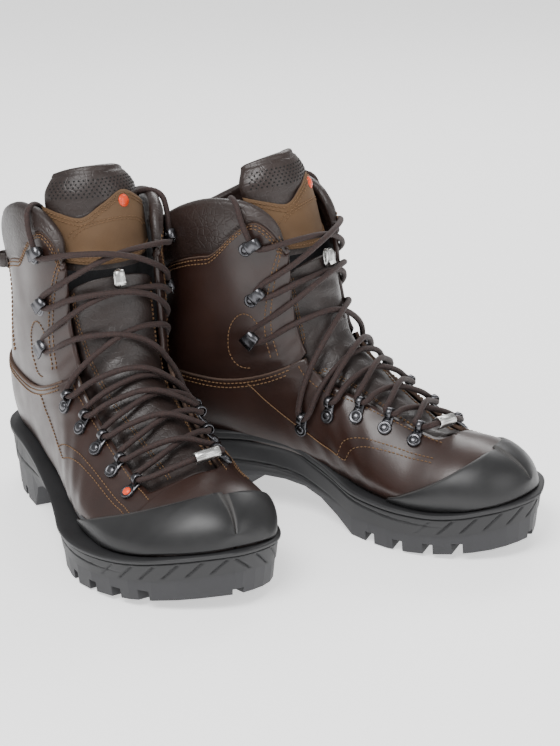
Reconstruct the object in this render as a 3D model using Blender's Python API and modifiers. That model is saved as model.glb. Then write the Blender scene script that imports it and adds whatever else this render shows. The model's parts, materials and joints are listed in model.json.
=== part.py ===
"""A pair of laced leather mountaineering boots, standing side by side as worn, toes apart.

Each boot is drawn in its own frame in millimetres: x towards the outer side of the foot,
y forward from the back of the heel, z up from the ground. The left boot is the mirror image.
"""
import math

import bmesh
import bpy
import numpy as np
from mathutils import Matrix, Vector

MM = 0.001

# ---- placing of the two boots on the ground (mm, mm, heading in degrees from +X) ----
SOLE_MIDDLE = 150.0
RIGHT_POSE = (-92.73, -1.86, -66.6)
LEFT_POSE = (47.67, 37.54, -33.2)

# ---- driving dimensions, mm ----
SOLE_LENGTH = 300.0
LEATHER = 3.0            # leather with its lining, foot part
CUFF_INSET = 6.0         # the ankle cuff runs inside the foot part
CUFF_LEATHER = 3.0
GAP = 0.5
RAND_THICK = 2.0
RAND_GAP = 1.85
TONGUE_THICK = 5.0
LACE_DIAMETER = 4.0
RIVET_DIAMETER = 9.0
LOOP_ROWS = 5
ANKLE_AXIS = (70.0, 98.0)      # y, z of the flex axis
TONGUE_AXIS_Z = 181.0
LUG_DEPTH = 7.0

# Sections of the upper, each a line in the middle plane from a bottom or back point to a
# top or shin point: y_top z_top y_bottom z_bottom half_width widest top_p top_s bottom_n x_top x_bottom
SECTIONS = np.array([
    (300.0, 44.0, 300.0, 35.0, 1.0, .40, 2.0, 2.0, 2.0, -14.0, -14.0),
    (297.5, 51.0, 298.0, 30.0, 13.0, .35, 2.0, 2.0, 2.6, -15.0, -14.0),
    (291.0, 57.5, 292.0, 27.0, 25.0, .35, 1.9, 2.0, 2.8, -16.0, -12.5),
    (281.0, 63.0, 282.0, 26.0, 35.5, .34, 1.8, 2.0, 3.0, -16.5, -9.0),
    (266.0, 68.0, 267.0, 25.0, 44.0, .33, 1.7, 1.9, 3.2, -17.0, -5.0),
    (248.0, 71.5, 249.0, 24.0, 50.0, .31, 1.45, 1.7, 3.4, -18.0, -2.0),
    (230.0, 77.0, 230.0, 24.0, 52.5, .30, 1.25, 1.55, 3.4, -18.0, 0.0),
    (208.0, 88.0, 206.0, 25.0, 52.0, .30, 1.35, 1.6, 3.2, -14.0, 2.5),
    (188.0, 100.0, 180.0, 27.0, 48.0, .32, 1.6, 1.7, 3.0, -10.0, 5.0),
    (171.0, 113.0, 150.0, 29.0, 43.5, .35, 1.8, 1.9, 2.8, -6.0, 6.0),
    (160.0, 127.0, 115.0, 31.0, 42.0, .40, 2.1, 2.1, 2.8, -4.0, 4.5),
    (153.0, 144.0, 70.0, 32.0, 43.0, .48, 2.4, 2.4, 2.8, -3.0, 2.0),
    (149.0, 160.0, 28.0, 32.0, 44.0, .54, 2.7, 2.7, 2.8, -3.0, 0.0),
    (147.0, 174.0, 4.0, 48.0, 45.0, .57, 2.9, 2.9, 2.6, -3.0, 0.0),
    (145.0, 187.0, 1.0, 74.0, 46.0, .57, 3.0, 3.0, 2.3, -3.0, 0.0),
    (143.5, 197.0, 7.0, 102.0, 46.0, .56, 3.0, 3.0, 2.1, -3.5, 0.0),
    (142.0, 205.0, 12.0, 130.0, 46.0, .54, 3.0, 3.0, 2.0, -4.0, 0.0),
    (140.0, 212.0, 13.0, 155.0, 46.5, .52, 3.0, 3.0, 2.0, -4.0, 0.0),
    (138.0, 219.0, 10.0, 178.0, 47.0, .50, 3.0, 3.0, 2.0, -4.5, 0.0),
    (135.0, 232.0, 8.0, 190.0, 47.5, .50, 3.0, 3.0, 2.0, -4.5, 0.0),
])
LAST_SECTION = len(SECTIONS) - 1.0

# Plan outline of the sole: y, outer side x, inner side x
OUTLINE = np.array([
    (0.0, 4.0, -4.0), (3.0, 16.0, -16.0), (11.6, 27.5, -27.5), (27.0, 36.5, -36.0),
    (48.0, 41.0, -40.0), (75.0, 42.5, -39.0), (100.0, 43.5, -35.0), (136.0, 47.0, -34.0),
    (155.0, 50.5, -36.5), (175.0, 55.0, -42.5), (194.0, 59.5, -50.5), (213.0, 60.8, -56.0),
    (231.0, 58.5, -58.5), (250.0, 52.0, -58.0), (268.0, 42.5, -54.0), (283.0, 29.5, -47.0),
    (294.0, 13.0, -38.0), (301.0, -4.0, -26.0), (303.5, -12.0, -18.0),
])
# Underside of the tread, raised at the arch and sprung up at the toe: y, z
TREAD = np.array([
    (0.0, 4.0), (10.0, 0.6), (16.0, 0.0), (78.0, 0.0), (86.0, 16.0), (98.0, 21.0), (118.0, 23.5),
    (140.0, 22.0), (156.0, 17.5), (172.0, 9.0), (188.0, 0.0), (208.0, 0.0), (240.0, 1.1),
    (270.0, 4.1), (290.0, 7.1), (303.5, 9.7),
])
# Joint between tread rubber and midsole: y, z
SOLE_JOINT = np.array([
    (0.0, 24.0), (60.0, 23.0), (84.0, 25.0), (100.0, 26.8), (120.0, 28.0), (140.0, 26.6),
    (165.0, 21.0), (190.0, 15.5), (230.0, 15.0), (265.0, 17.5), (290.0, 22.0), (303.5, 25.5),
])
# Top of the midsole rim: y, outer side z, inner side z
RIM = np.array([
    (0.0, 46.0, 46.0), (50.0, 46.5, 49.0), (78.0, 44.5, 52.0), (100.0, 40.0, 53.0),
    (130.0, 33.5, 52.5), (160.0, 30.5, 44.0), (190.0, 29.5, 34.5), (213.0, 29.0, 32.0),
    (247.0, 29.5, 30.5), (271.0, 32.0, 32.5), (290.0, 36.0, 36.5), (303.5, 39.0, 39.0),
])


def gentle(a, b):
    """Slope between two steps that never makes the curve overshoot."""
    limit = 3.0 * np.minimum(np.abs(a), np.abs(b))
    mean = 0.5 * (a + b)
    return np.where(a * b <= 0.0, 0.0, np.clip(mean, -limit, limit))


def smooth_table(table, value):
    """Rows of a table at places along its first column, with a soft curve between rows."""
    table = np.asarray(table, float)
    value = np.clip(np.atleast_1d(np.asarray(value, float)), table[0, 0], table[-1, 0])
    index = np.clip(np.searchsorted(table[:, 0], value, side="right") - 1, 0, len(table) - 2)
    before = np.maximum(index - 1, 0)
    after = np.minimum(index + 2, len(table) - 1)
    span = table[index + 1, 0] - table[index, 0]
    f = ((value - table[index, 0]) / span)[:, None]
    y1 = table[index, 1:]
    y2 = table[index + 1, 1:]
    step = (y2 - y1) / span[:, None]
    step0 = (y1 - table[before, 1:]) / np.maximum(table[index, 0] - table[before, 0], 1e-9)[:, None]
    step2 = (table[after, 1:] - y2) / np.maximum(table[after, 0] - table[index + 1, 0], 1e-9)[:, None]
    step0 = np.where((before == index)[:, None], step, step0)
    step2 = np.where((after == index + 1)[:, None], step, step2)
    slope1 = gentle(step0, step) * span[:, None]
    slope2 = gentle(step, step2) * span[:, None]
    a = 2.0 * y1 - 2.0 * y2 + slope1 + slope2
    b = -3.0 * y1 + 3.0 * y2 - 2.0 * slope1 - slope2
    return ((a * f + b) * f + slope1) * f + y1


SECTION_TABLE = np.hstack([np.arange(len(SECTIONS))[:, None], SECTIONS])


def upper(u, a, side):
    """Points of the outer face of the upper. u runs from the toe (0) to the collar (18);
    a runs from the bottom or back middle line (-1) over the widest place (0) to the shin (1)."""
    u, a, side = np.broadcast_arrays(np.asarray(u, float), np.asarray(a, float), np.asarray(side, float))
    shape = u.shape
    row = smooth_table(SECTION_TABLE, u.ravel())
    a = np.clip(a.ravel(), -1.0, 1.0)
    side = side.ravel()
    yt, zt, yb, zb, width, k, p, s, n, xt, xb = row.T
    q = np.abs(np.sin(a * math.pi / 2.0))
    high = a >= 0.0
    t = np.where(high, k + (1.0 - k) * q, k - k * q)
    top = np.maximum(1.0 - q ** p, 0.0) ** (1.0 / s)
    low = np.maximum(1.0 - q ** n, 0.0) ** (1.0 / n)
    x = xb + (xt - xb) * t + side * width * np.where(high, top, low)
    y = yb + (yt - yb) * t
    z = zb + (zt - zb) * t
    return np.stack([x, y, z], -1).reshape(shape + (3,))


def side_normal(u, a, side):
    a = np.clip(a, -0.985, 0.985)
    u = np.clip(u, 0.05, LAST_SECTION - 0.05)
    du = upper(u + 0.04, a, side) - upper(u - 0.04, a, side)
    da = upper(u, a + 0.012, side) - upper(u, a - 0.012, side)
    n = np.cross(da, du) * side[..., None]
    return n / np.maximum(np.linalg.norm(n, axis=-1, keepdims=True), 1e-9)


def upper_normal(u, a, side):
    """Outward direction, evened out over the middle lines and turned to the front at the toe tip."""
    u, a, side = np.broadcast_arrays(np.asarray(u, float), np.asarray(a, float), np.asarray(side, float))
    mix = np.clip((np.abs(a) - 0.90) / 0.10, 0.0, 1.0)[..., None]
    n = side_normal(u, a, side) + mix * side_normal(u, a, -side)
    n = n / np.maximum(np.linalg.norm(n, axis=-1, keepdims=True), 1e-9)
    tip = np.clip(1.0 - u / 0.5, 0.0, 1.0)[..., None]
    n = n * (1.0 - tip) + np.array([0.0, 1.0, 0.0]) * tip
    return n / np.maximum(np.linalg.norm(n, axis=-1, keepdims=True), 1e-9)


def upper_at(u, a, side, out):
    """A point of the upper, moved out from its face by a distance in mm."""
    return upper(u, a, side) + upper_normal(u, a, side) * np.asarray(out, float)[..., None]


def find_a(u, side, test, start=-1.0):
    """The place a on section u where test(point) turns from below zero to above it."""
    grid = np.linspace(start, 1.0, 401)
    values = test(upper(np.full(401, float(u)), grid, side))
    over = np.nonzero(values > 0.0)[0]
    if len(over) == 0:
        return 1.0
    i = over[0]
    if i == 0:
        return start
    return grid[i - 1] + (grid[i] - grid[i - 1]) * values[i - 1] / (values[i - 1] - values[i])


def rim_height(y, side):
    row = smooth_table(RIM, y)
    return row[:, 0] if side > 0 else row[:, 1]


def seam_height(y):
    """Top edge of the foot part at the ankle, a shallow U."""
    y = np.asarray(y, float)
    return 91.0 + np.where(y > 78.0, 19.0 * ((y - 78.0) / 67.0) ** 2, 9.0 * ((78.0 - y) / 72.0) ** 2)


def rand_height(y, side):
    """Top edge of the toe rand: from the rim at the ball, up and over the toe."""
    start = 172.0 if side > 0 else 206.0
    f = np.clip((np.asarray(y, float) - start) / (287.0 - start), 0.0, 1.5)
    rise = 37.0 * f ** 1.25
    return rim_height(y, side) + rise


THROAT_START = 4.9


def throat_x(y, side):
    """Where the facing edge runs beside the tongue."""
    f = np.clip((236.0 - np.asarray(y, float)) / 86.0, 0.0, 1.3)
    return 18.0 + 11.0 * f if side > 0 else -29.0 - 5.5 * f


def throat_a(u, side):
    """The facing edge on section u, rounded off at the toe end."""
    full = find_a(u, side, lambda p: side * (throat_x(p[:, 1], side) - p[:, 0]), 0.03)
    f = np.clip((u - THROAT_START) / 0.55, 0.0, 1.0)
    return 1.0 - (1.0 - full) * math.sqrt(max(1.0 - (1.0 - f) ** 2, 0.0))


def foot_edge_a(u, side):
    if u <= THROAT_START:
        return 1.0
    edge = throat_a(u, side)
    if u > 8.6:
        edge = min(edge, find_a(u, side, lambda p: p[:, 2] - seam_height(p[:, 1])))
    return edge


# ------------------------------------------------------------------ scene helpers

def clear_scene():
    for obj in list(bpy.data.objects):
        bpy.data.objects.remove(obj, do_unlink=True)


clear_scene()
scene = bpy.context.scene
PARTS = bpy.data.collections.new("mountaineering_boots")
CUTTERS = bpy.data.collections.new("cutters")
scene.collection.children.link(PARTS)
scene.collection.children.link(CUTTERS)
CUTTERS.hide_render = True

PALETTE = {
    "leather": ((0.045, 0.022, 0.015), 0.45),
    "leather_soft": ((0.022, 0.014, 0.011), 0.6),
    "nubuck": ((0.14, 0.085, 0.045), 0.85),
    "rubber": ((0.010, 0.010, 0.011), 0.65),
    "tread": ((0.022, 0.023, 0.025), 0.7),
    "foam": ((0.05, 0.05, 0.055), 0.9),
    "metal": ((0.10, 0.10, 0.105), 0.35),
    "orange": ((0.85, 0.12, 0.03), 0.4),
    "lace": ((0.055, 0.025, 0.022), 0.8),
    "silver": ((0.55, 0.55, 0.55), 0.3),
}


def material_for(name, kind):
    colour, roughness = PALETTE[kind]
    mat = bpy.data.materials.new(name + "_material")
    mat.use_nodes = True
    shader = mat.node_tree.nodes["Principled BSDF"]
    shader.inputs["Base Color"].default_value = (*colour, 1.0)
    shader.inputs["Roughness"].default_value = roughness
    shader.inputs["Metallic"].default_value = 1.0 if kind in ("metal", "silver") else 0.0
    mat.diffuse_color = (*colour, 1.0)
    return mat


def link(obj, collection):
    collection.objects.link(obj)
    return obj


def mesh_from(name, points, faces, merge=0.00002):
    """A mesh in metres from points in mm, with doubled points joined."""
    mesh = bpy.data.meshes.new(name)
    mesh.from_pydata([tuple(p) for p in (np.asarray(points, float) * MM)], [], [list(f) for f in faces])
    bm = bmesh.new()
    bm.from_mesh(mesh)
    bmesh.ops.remove_doubles(bm, verts=bm.verts, dist=merge)
    bmesh.ops.dissolve_degenerate(bm, edges=bm.edges, dist=merge)
    bmesh.ops.recalc_face_normals(bm, faces=bm.faces)
    bm.to_mesh(mesh)
    bm.free()
    return mesh


def grid_faces(rows, columns, closed_rows=False):
    faces = []
    for i in range(rows if closed_rows else rows - 1):
        for j in range(columns - 1):
            k = (i + 1) % rows
            faces.append((i * columns + j, i * columns + j + 1, k * columns + j + 1, k * columns + j))
    return faces


class Boot:
    """Holds one boot's frame and adds its pieces."""

    def __init__(self, label, pose, mirror):
        self.label = label
        self.mirror = mirror
        x, y, heading = pose
        turn = math.radians(heading - 90.0)
        ahead = Vector((math.cos(math.radians(heading)), math.sin(math.radians(heading)), 0.0))
        heel = Vector((x, y, 0.0)) - ahead * SOLE_MIDDLE
        self.matrix = Matrix.Translation(heel * MM) @ Matrix.Rotation(turn, 4, "Z")
        self.frame = bpy.data.objects.new(label + "_boot_frame", None)
        self.frame.empty_display_size = 0.05
        self.frame.matrix_world = self.matrix
        link(self.frame, PARTS)

    def point(self, p):
        return Vector((-p[0] if self.mirror else p[0], p[1], p[2])) * MM

    def add(self, name, mesh, kind, pivot=(0.0, 0.0, 0.0)):
        """Adds a mesh drawn in boot millimetres times MM, with its origin at the pivot."""
        name = self.label + "_" + name
        mesh = mesh.copy()
        mesh.name = name
        mesh.transform(Matrix.Translation(-Vector(pivot) * MM))
        if self.mirror:
            mesh.transform(Matrix.Scale(-1.0, 4, (1.0, 0.0, 0.0)))
            mesh.flip_normals()
        obj = bpy.data.objects.new(name, mesh)
        obj.data.materials.clear()
        obj.data.materials.append(material_for(name, kind))
        obj.parent = self.frame
        obj.location = self.point(pivot)
        link(obj, PARTS)
        return obj


def evaluated_mesh(obj):
    bpy.context.view_layer.update()
    graph = bpy.context.evaluated_depsgraph_get()
    return bpy.data.meshes.new_from_object(obj.evaluated_get(graph))


def solid_sheet(name, points, faces, thickness, outward):
    """A sheet thickened to a solid: outward grows it away from the foot, otherwise inward."""
    mesh = mesh_from(name, points, faces)
    obj = bpy.data.objects.new(name, mesh)
    link(obj, CUTTERS)
    solid = obj.modifiers.new("thickness", "SOLIDIFY")
    solid.thickness = thickness * MM
    solid.offset = 1.0 if outward else -1.0
    solid.use_even_offset = False
    solid.thickness_clamp = 0.0
    solid.use_quality_normals = True
    made = evaluated_mesh(obj)
    bpy.data.objects.remove(obj, do_unlink=True)
    return made


def combined(name, base, others, operation):
    """The base mesh joined with, or cut by, the other meshes."""
    body = bpy.data.objects.new(name, base)
    link(body, CUTTERS)
    helpers = []
    for i, other in enumerate(others):
        helper = bpy.data.objects.new(name + "_tool_%d" % i, other)
        helper.display_type = "WIRE"
        link(helper, CUTTERS)
        helpers.append(helper)
        step = body.modifiers.new("step_%d" % i, "BOOLEAN")
        step.operation = operation
        step.solver = "EXACT"
        step.object = helper
    made = evaluated_mesh(body)
    for obj in helpers + [body]:
        bpy.data.objects.remove(obj, do_unlink=True)
    return made


def outward(mesh):
    """Faces turned to point out of the solid."""
    bm = bmesh.new()
    bm.from_mesh(mesh)
    bmesh.ops.recalc_face_normals(bm, faces=bm.faces)
    bm.to_mesh(mesh)
    bm.free()
    return mesh


# ------------------------------------------------------------------ sole

def side_x(y, side):
    row = smooth_table(OUTLINE, y)
    return row[:, 0] if side > 0 else row[:, 1]


def sole_prism(name, stations, low, high, grow_low, grow_high):
    """A body lofted along the foot between two heights; low and high take y and a side."""
    points = []
    for y in stations:
        for side, height, grow in ((1, high, grow_high), (1, low, grow_low), (-1, low, grow_low), (-1, high, grow_high)):
            x = side_x(y, side)[0]
            forward = grow * max(0.0, (y - 240.0) / 60.0)
            rearward = grow * max(0.0, (30.0 - y) / 30.0)
            points.append((x + side * grow, y + forward - rearward, float(np.ravel(height(y, side))[0])))
    faces = []
    last = len(stations) - 1
    for i in range(last):
        for j in range(4):
            k = (j + 1) % 4
            faces.append((4 * i + j, 4 * i + k, 4 * i + 4 + k, 4 * i + 4 + j))
    faces.append((0, 1, 2, 3))
    faces.append((4 * last + 3, 4 * last + 2, 4 * last + 1, 4 * last))
    return mesh_from(name, points, faces)


def table_height(table, shift=0.0):
    return lambda y, side: smooth_table(table, y)[:, 0] + shift


SOLE_STATIONS = [0, 3, 8, 16, 28, 44, 62, 78, 86, 98, 112, 128, 144, 158, 173, 188, 204, 220, 236, 252, 266, 279, 289, 296, 300.5, 303.5]


def box_points(centre, size, turn):
    c, s = math.cos(turn), math.sin(turn)
    points = []
    for dx in (-0.5, 0.5):
        for dy in (-0.5, 0.5):
            for dz in (-0.5, 0.5):
                x, y = dx * size[0], dy * size[1]
                points.append((centre[0] + c * x - s * y, centre[1] + s * x + c * y, centre[2] + dz * size[2]))
    return points


BOX_FACES = [(0, 1, 3, 2), (4, 6, 7, 5), (0, 4, 5, 1), (2, 3, 7, 6), (0, 2, 6, 4), (1, 5, 7, 3)]


def groove_mesh():
    """The grooves between the tread lugs, as one set of boxes."""
    points, faces = [], []

    def add(centre, size, turn):
        start = len(points)
        points.extend(box_points(centre, size, turn))
        faces.extend(tuple(start + i for i in face) for face in BOX_FACES)

    for y in (207.0, 229.0, 251.0, 271.0):
        top = float(smooth_table(TREAD, y)[0, 0]) + LUG_DEPTH
        for side in (1, -1):
            inner = 9.0 if side > 0 else -17.0
            add((inner + side * 30.0, y + side * 3.0, top - 15.0), (60.0, 7.0, 30.0), side * 0.22)
    for y in (32.0, 57.0):
        for side in (1, -1):
            add((side * 42.0, y, LUG_DEPTH - 15.0), (56.0, 6.5, 30.0), -side * 0.12)
    add((-14.5, 300.0, LUG_DEPTH + 6.5 - 15.0), (7.0, 22.0, 30.0), 0.0)
    return mesh_from("grooves", points, faces, merge=0.0)


def build_outsole():
    body = sole_prism("outsole", SOLE_STATIONS, table_height(TREAD), table_height(SOLE_JOINT, -0.3), -1.5, 0.0)
    return outward(combined("outsole", body, [outward(groove_mesh())], "DIFFERENCE"))


def sweep_u(start, end, count):
    return [start + (end - start) * i / (count - 1.0) for i in range(count)]


FOOT_STATIONS = [0, .12, .35, .7, 1.1, 1.6, 2.2, 2.8, 3.5, 4.2, THROAT_START, 5.05, 5.3, 5.7, 6.4, 7.2, 8.0, 8.8, 9.4, 10.1, 10.9, 11.7, 12.4, 13.0, 13.6, 14.2]


def foot_end_u():
    """Where the ankle seam meets the back of the heel."""
    for u in np.arange(13.0, 17.0, 0.01):
        back = upper(u, -0.965, 1.0)
        if back[2] >= seam_height(back[1]):
            return float(u)
    return 15.0


def last_mesh(out, u_end=LAST_SECTION):
    """The foot-shaped solid inside a face moved out (or in) from the upper."""
    stations = FOOT_STATIONS + [foot_end_u(), 16.0, u_end]
    half = 16
    points = []
    for u in stations:
        for side in (1, -1):
            levels = [1.0 - 2.0 * i / half for i in range(half + 1)]
            if side < 0:
                levels = levels[::-1][1:-1]
            for a in levels:
                points.append(upper_at(float(u), a, float(side), out))
    ring = 2 * half
    faces = []
    for i in range(len(stations) - 1):
        for j in range(ring):
            k = (j + 1) % ring
            faces.append((i * ring + j, i * ring + k, (i + 1) * ring + k, (i + 1) * ring + j))
    faces.append(tuple(range(ring)))
    faces.append(tuple((len(stations) - 1) * ring + j for j in range(ring))[::-1])
    return outward(mesh_from("last", points, faces, merge=0.0))


def build_midsole():
    body = sole_prism("midsole", SOLE_STATIONS, table_height(SOLE_JOINT), rim_height, 0.0, 2.0)
    return outward(combined("midsole", outward(body), [last_mesh(1.7, 17.0)], "DIFFERENCE"))


def build_footbed():
    stations = [6, 20, 40, 62, 84, 106, 130, 155, 180, 205, 230, 252, 270, 284, 294]

    def top(y, side):
        bottom = np.interp(y, [4, 28, 70, 115, 150, 180, 230, 290], [33, 32, 32, 31, 29, 27, 24, 26.5])
        return bottom + LEATHER + 0.5 + 5.5

    slab = sole_prism("footbed", stations, lambda y, side: 15.0, top, 0.0, 0.0)
    return outward(combined("footbed", outward(slab), [last_mesh(-(LEATHER + 1.6), 17.0)], "INTERSECT"))


# ------------------------------------------------------------------ upper

def build_upper_foot():
    half = 8
    stations = FOOT_STATIONS + [foot_end_u()]
    points = []
    for i, u in enumerate(stations):
        last = i == len(stations) - 1
        for side in (1.0, -1.0):
            edge = -0.965 if last else foot_edge_a(u, side)
            levels = [edge + (-1.0 - edge) * (j / half) for j in range(half + 1)]
            if side < 0:
                levels = levels[::-1][1:]
            points.extend(upper(float(u), a, side) for a in levels)
    columns = 2 * half + 1
    faces = grid_faces(len(stations), columns)
    faces.append(tuple(range(columns)))
    return outward(solid_sheet("upper_foot", points, faces, LEATHER, False))


def rand_levels(u, side):
    low = find_a(u, side, lambda p: p[:, 2] - rim_height(p[:, 1], side) - 3.2)
    high = find_a(u, side, lambda p: p[:, 2] - rand_height(p[:, 1], side))
    return low, max(low, high)


def rand_end_u(side):
    """Where the rand runs out against the rim."""
    for u in np.arange(4.0, 11.0, 0.02):
        low, high = rand_levels(u, side)
        if high - low < 0.02:
            return float(u)
    return 11.0


def build_toe_rand():
    """Smooth rubber wrapped round the toe: one strip on each side, joined over the toe."""
    half = 6
    points, faces = [], []
    tips = []
    for side in (1.0, -1.0):
        end = rand_end_u(side)
        stations = [0, .12, .35, .7, 1.1, 1.6, 2.2, 2.8, 3.4, 4.0] + sweep_u(4.7, end, 6)
        start = len(points)
        for u in stations:
            low, high = rand_levels(u, side)
            if u == end:
                high = low
            for j in range(half + 1):
                points.append(upper_at(float(u), low + (high - low) * j / half, side, RAND_GAP))
        strip = [tuple(start + k for k in face) for face in grid_faces(len(stations), half + 1)]
        faces.extend(strip if side > 0 else [face[::-1] for face in strip])
        tips.append(list(range(start, start + half + 1)))
    for j in range(half):
        faces.append((tips[0][j + 1], tips[0][j], tips[1][j], tips[1][j + 1]))
    return outward(solid_sheet("toe_rand", points, faces, RAND_THICK, True))


def locate(y, z):
    """The (u, a) of the upper that lies at y, z in side view."""
    u = np.linspace(0.0, LAST_SECTION, 1901)
    yt, zt, yb, zb, _, k = smooth_table(SECTION_TABLE, u)[:, :6].T
    cross = (yt - yb) * (z - zb) - (zt - zb) * (y - yb)
    change = np.nonzero(np.diff(np.sign(cross)) != 0)[0]
    i = int(change[0]) if len(change) else int(np.argmin(np.abs(cross)))
    t = ((y - yb[i]) * (yt[i] - yb[i]) + (z - zb[i]) * (zt[i] - zb[i])) / ((yt[i] - yb[i]) ** 2 + (zt[i] - zb[i]) ** 2)
    t = min(max(t, 0.0), 1.0)
    q = (t - k[i]) / (1.0 - k[i]) if t >= k[i] else (k[i] - t) / k[i]
    a = math.asin(min(q, 1.0)) * 2.0 / math.pi
    return float(u[i]), (a if t >= k[i] else -a)


COLLAR = np.array([(10.0, 178.0), (22.0, 183.0), (40.0, 193.0), (62.0, 204.0), (84.0, 210.5), (104.0, 211.5), (120.0, 207.5), (131.0, 198.0), (136.0, 184.0)])


def shell(name, outer, inner):
    """A closed solid between two grids of points of the same shape."""
    rows, columns = outer.shape[:2]
    points = np.concatenate([outer.reshape(-1, 3), inner.reshape(-1, 3)])
    shift = rows * columns
    faces = grid_faces(rows, columns)
    faces += [tuple(shift + k for k in face[::-1]) for face in grid_faces(rows, columns)]
    edge = [j for j in range(columns)]
    edge += [i * columns + columns - 1 for i in range(1, rows)]
    edge += [(rows - 1) * columns + j for j in range(columns - 2, -1, -1)]
    edge += [i * columns for i in range(rows - 2, 0, -1)]
    for a, b in zip(edge, edge[1:] + edge[:1]):
        faces.append((b, a, shift + a, shift + b))
    return outward(mesh_from(name, points, faces, merge=0.0))


CUFF_ROWS = 10
CUFF_HALF = 12


def cuff_paths():
    """Columns of the ankle cuff from the back round to the facing edge: start and end (u, a)."""
    top_y = smooth_table(np.c_[np.linspace(0, 1, len(COLLAR)), COLLAR], np.linspace(0.0, 1.0, CUFF_HALF + 1) ** 0.9)
    paths = {}
    for side in (1.0, -1.0):
        columns = []
        for i in range(CUFF_HALF + 1):
            f = i / CUFF_HALF
            if i == 0:
                us = np.linspace(12.0, 16.0, 401)
                back = upper(us, -1.0, 1.0)
                low = (float(us[np.argmin(np.abs(back[:, 2] - seam_height(back[:, 1]) + 9.0))]), -1.0)
                high = (18.0, -1.0)
            else:
                y = 7.0 + 134.0 * (1.0 - math.cos(f * math.pi / 2.0)) ** 0.85
                low = locate(y, float(seam_height(y)) - 9.0 + 5.0 * f ** 3)
                high = locate(*top_y[i])
            if i == CUFF_HALF:
                low = (low[0], throat_a(low[0], side))
                high = (high[0], throat_a(high[0], side))
            columns.append((low, high))
        paths[side] = columns
    return paths


def build_ankle_cuff():
    paths = cuff_paths()
    outer, inner = [], []
    order = [(1.0, i) for i in range(CUFF_HALF, 0, -1)] + [(-1.0, i) for i in range(CUFF_HALF + 1)]
    for r in range(CUFF_ROWS + 1):
        f = r / CUFF_ROWS
        row_out, row_in = [], []
        for side, i in order:
            (u0, a0), (u1, a1) = paths[side][i]
            u = u0 + (u1 - u0) * f
            a = a0 + (a1 - a0) * f
            if i == CUFF_HALF:
                a = throat_a(u, side)
            inset = CUFF_INSET - (CUFF_INSET - 1.0) * float(np.clip((f - 0.30) / 0.35, 0.0, 1.0)) ** 1.5 + 1.2 * (1.0 - f) ** 6
            inset += 3.6 * math.exp(-((i / CUFF_HALF - 0.22) / 0.17) ** 2) * max(0.0, 1.0 - f / 0.45)
            pad = 7.0 * float(np.clip((f - 0.45) / 0.35, 0.0, 1.0)) * (1.0 - 0.75 * (i / CUFF_HALF) ** 6)
            thick = CUFF_LEATHER + pad
            if r == CUFF_ROWS:
                inset += 0.25 * thick
                thick *= 0.5
            row_out.append(upper_at(u, a, side, -inset))
            row_in.append(upper_at(u, a, side, -inset - thick))
        outer.append(row_out)
        inner.append(row_in)
    return shell("ankle_cuff", np.array(outer), np.array(inner))


def tongue_strip(name, u_start, u_end, rows, inset, bulge, thick, extra):
    """A strip of tongue over the instep: inset from the upper, bulging up in the opening."""
    half = 5
    outer, inner = [], []
    for i in range(rows):
        f = i / (rows - 1.0)
        u = u_start + (u_end - u_start) * f
        edge = {}
        for side in (1.0, -1.0):
            edge[side] = find_a(u, side, lambda p: side * (throat_x(p[:, 1], side) + side * extra - p[:, 0]), 0.03)
        row_out, row_in = [], []
        for j in range(-half, half + 1):
            side = 1.0 if j < 0 else -1.0
            s = abs(j) / half
            a = 1.0 - (1.0 - edge[side]) * s
            d = inset(f) - bulge(f) * (1.0 - s * s) ** 2
            row_out.append(upper_at(u, a, side, -d))
            row_in.append(upper_at(u, a, side, -d - thick))
        outer.append(row_out)
        inner.append(row_in)
    return shell(name, np.array(outer), np.array(inner))


def build_tongue_lower():
    return tongue_strip("tongue_lower", 5.25, 9.35, 10, lambda f: 4.2, lambda f: 1.7 * min(f * 4.0, 1.0), TONGUE_THICK, 6.0)


def build_tongue_upper():
    return tongue_strip("tongue_upper", 9.15, 12.75, 9, lambda f: 12.9 - 1.4 * min(f * 2.2, 1.0), lambda f: 6.6 * min(f * 2.0, 1.0) if f > 0.12 else 0.0, TONGUE_THICK, 3.0)


# centre line of the free top of the tongue: share, y, z, half width, setback of the sides
TONGUE_TOP = np.array([
    (0.0, 136.5, 176.0, 32.0, 19.0), (0.25, 132.5, 191.0, 32.0, 20.5), (0.5, 128.5, 207.0, 32.5, 22.0),
    (0.78, 123.5, 224.0, 31.5, 24.0), (1.0, 118.5, 238.0, 25.0, 22.0),
])


def tongue_top(s, h, out=0.0):
    """A point of the tongue top: s across from inner (-1) to outer side (1), h up."""
    s, h, out = np.broadcast_arrays(np.asarray(s, float), np.asarray(h, float), np.asarray(out, float))

    def place(s, h):
        row = smooth_table(TONGUE_TOP, h.ravel())
        y, z, width, back = row.T
        t = s.ravel()
        x = -2.0 + width * np.sin(t * 1.25) / math.sin(1.25)
        y = y - back * (1.0 - np.cos(t * 1.25)) / (1.0 - math.cos(1.25))
        z = z - 7.0 * np.abs(t) ** 2.5 * h.ravel() ** 3
        return np.stack([x, y, z], -1).reshape(s.shape + (3,))

    e = 0.01
    ds = place(s + e, h) - place(s - e, h)
    dh = place(s, np.clip(h + e, 0, 1)) - place(s, np.clip(h - e, 0, 1))
    n = np.cross(dh, ds)
    n = n / np.linalg.norm(n, axis=-1, keepdims=True)
    return place(s, h) + n * out[..., None]


def build_tongue_top():
    s = np.linspace(1.0, -1.0, 13)
    h = np.linspace(0.0, 1.0, 8)
    grid_h, grid_s = np.meshgrid(h, s, indexing="ij")
    thick = np.where(grid_h > 0.99, 5.0, 8.0)
    start = np.where(grid_h > 0.99, -1.5, 0.0)
    return shell("tongue_top", tongue_top(grid_s, grid_h, start), tongue_top(grid_s, grid_h, start - thick))


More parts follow.
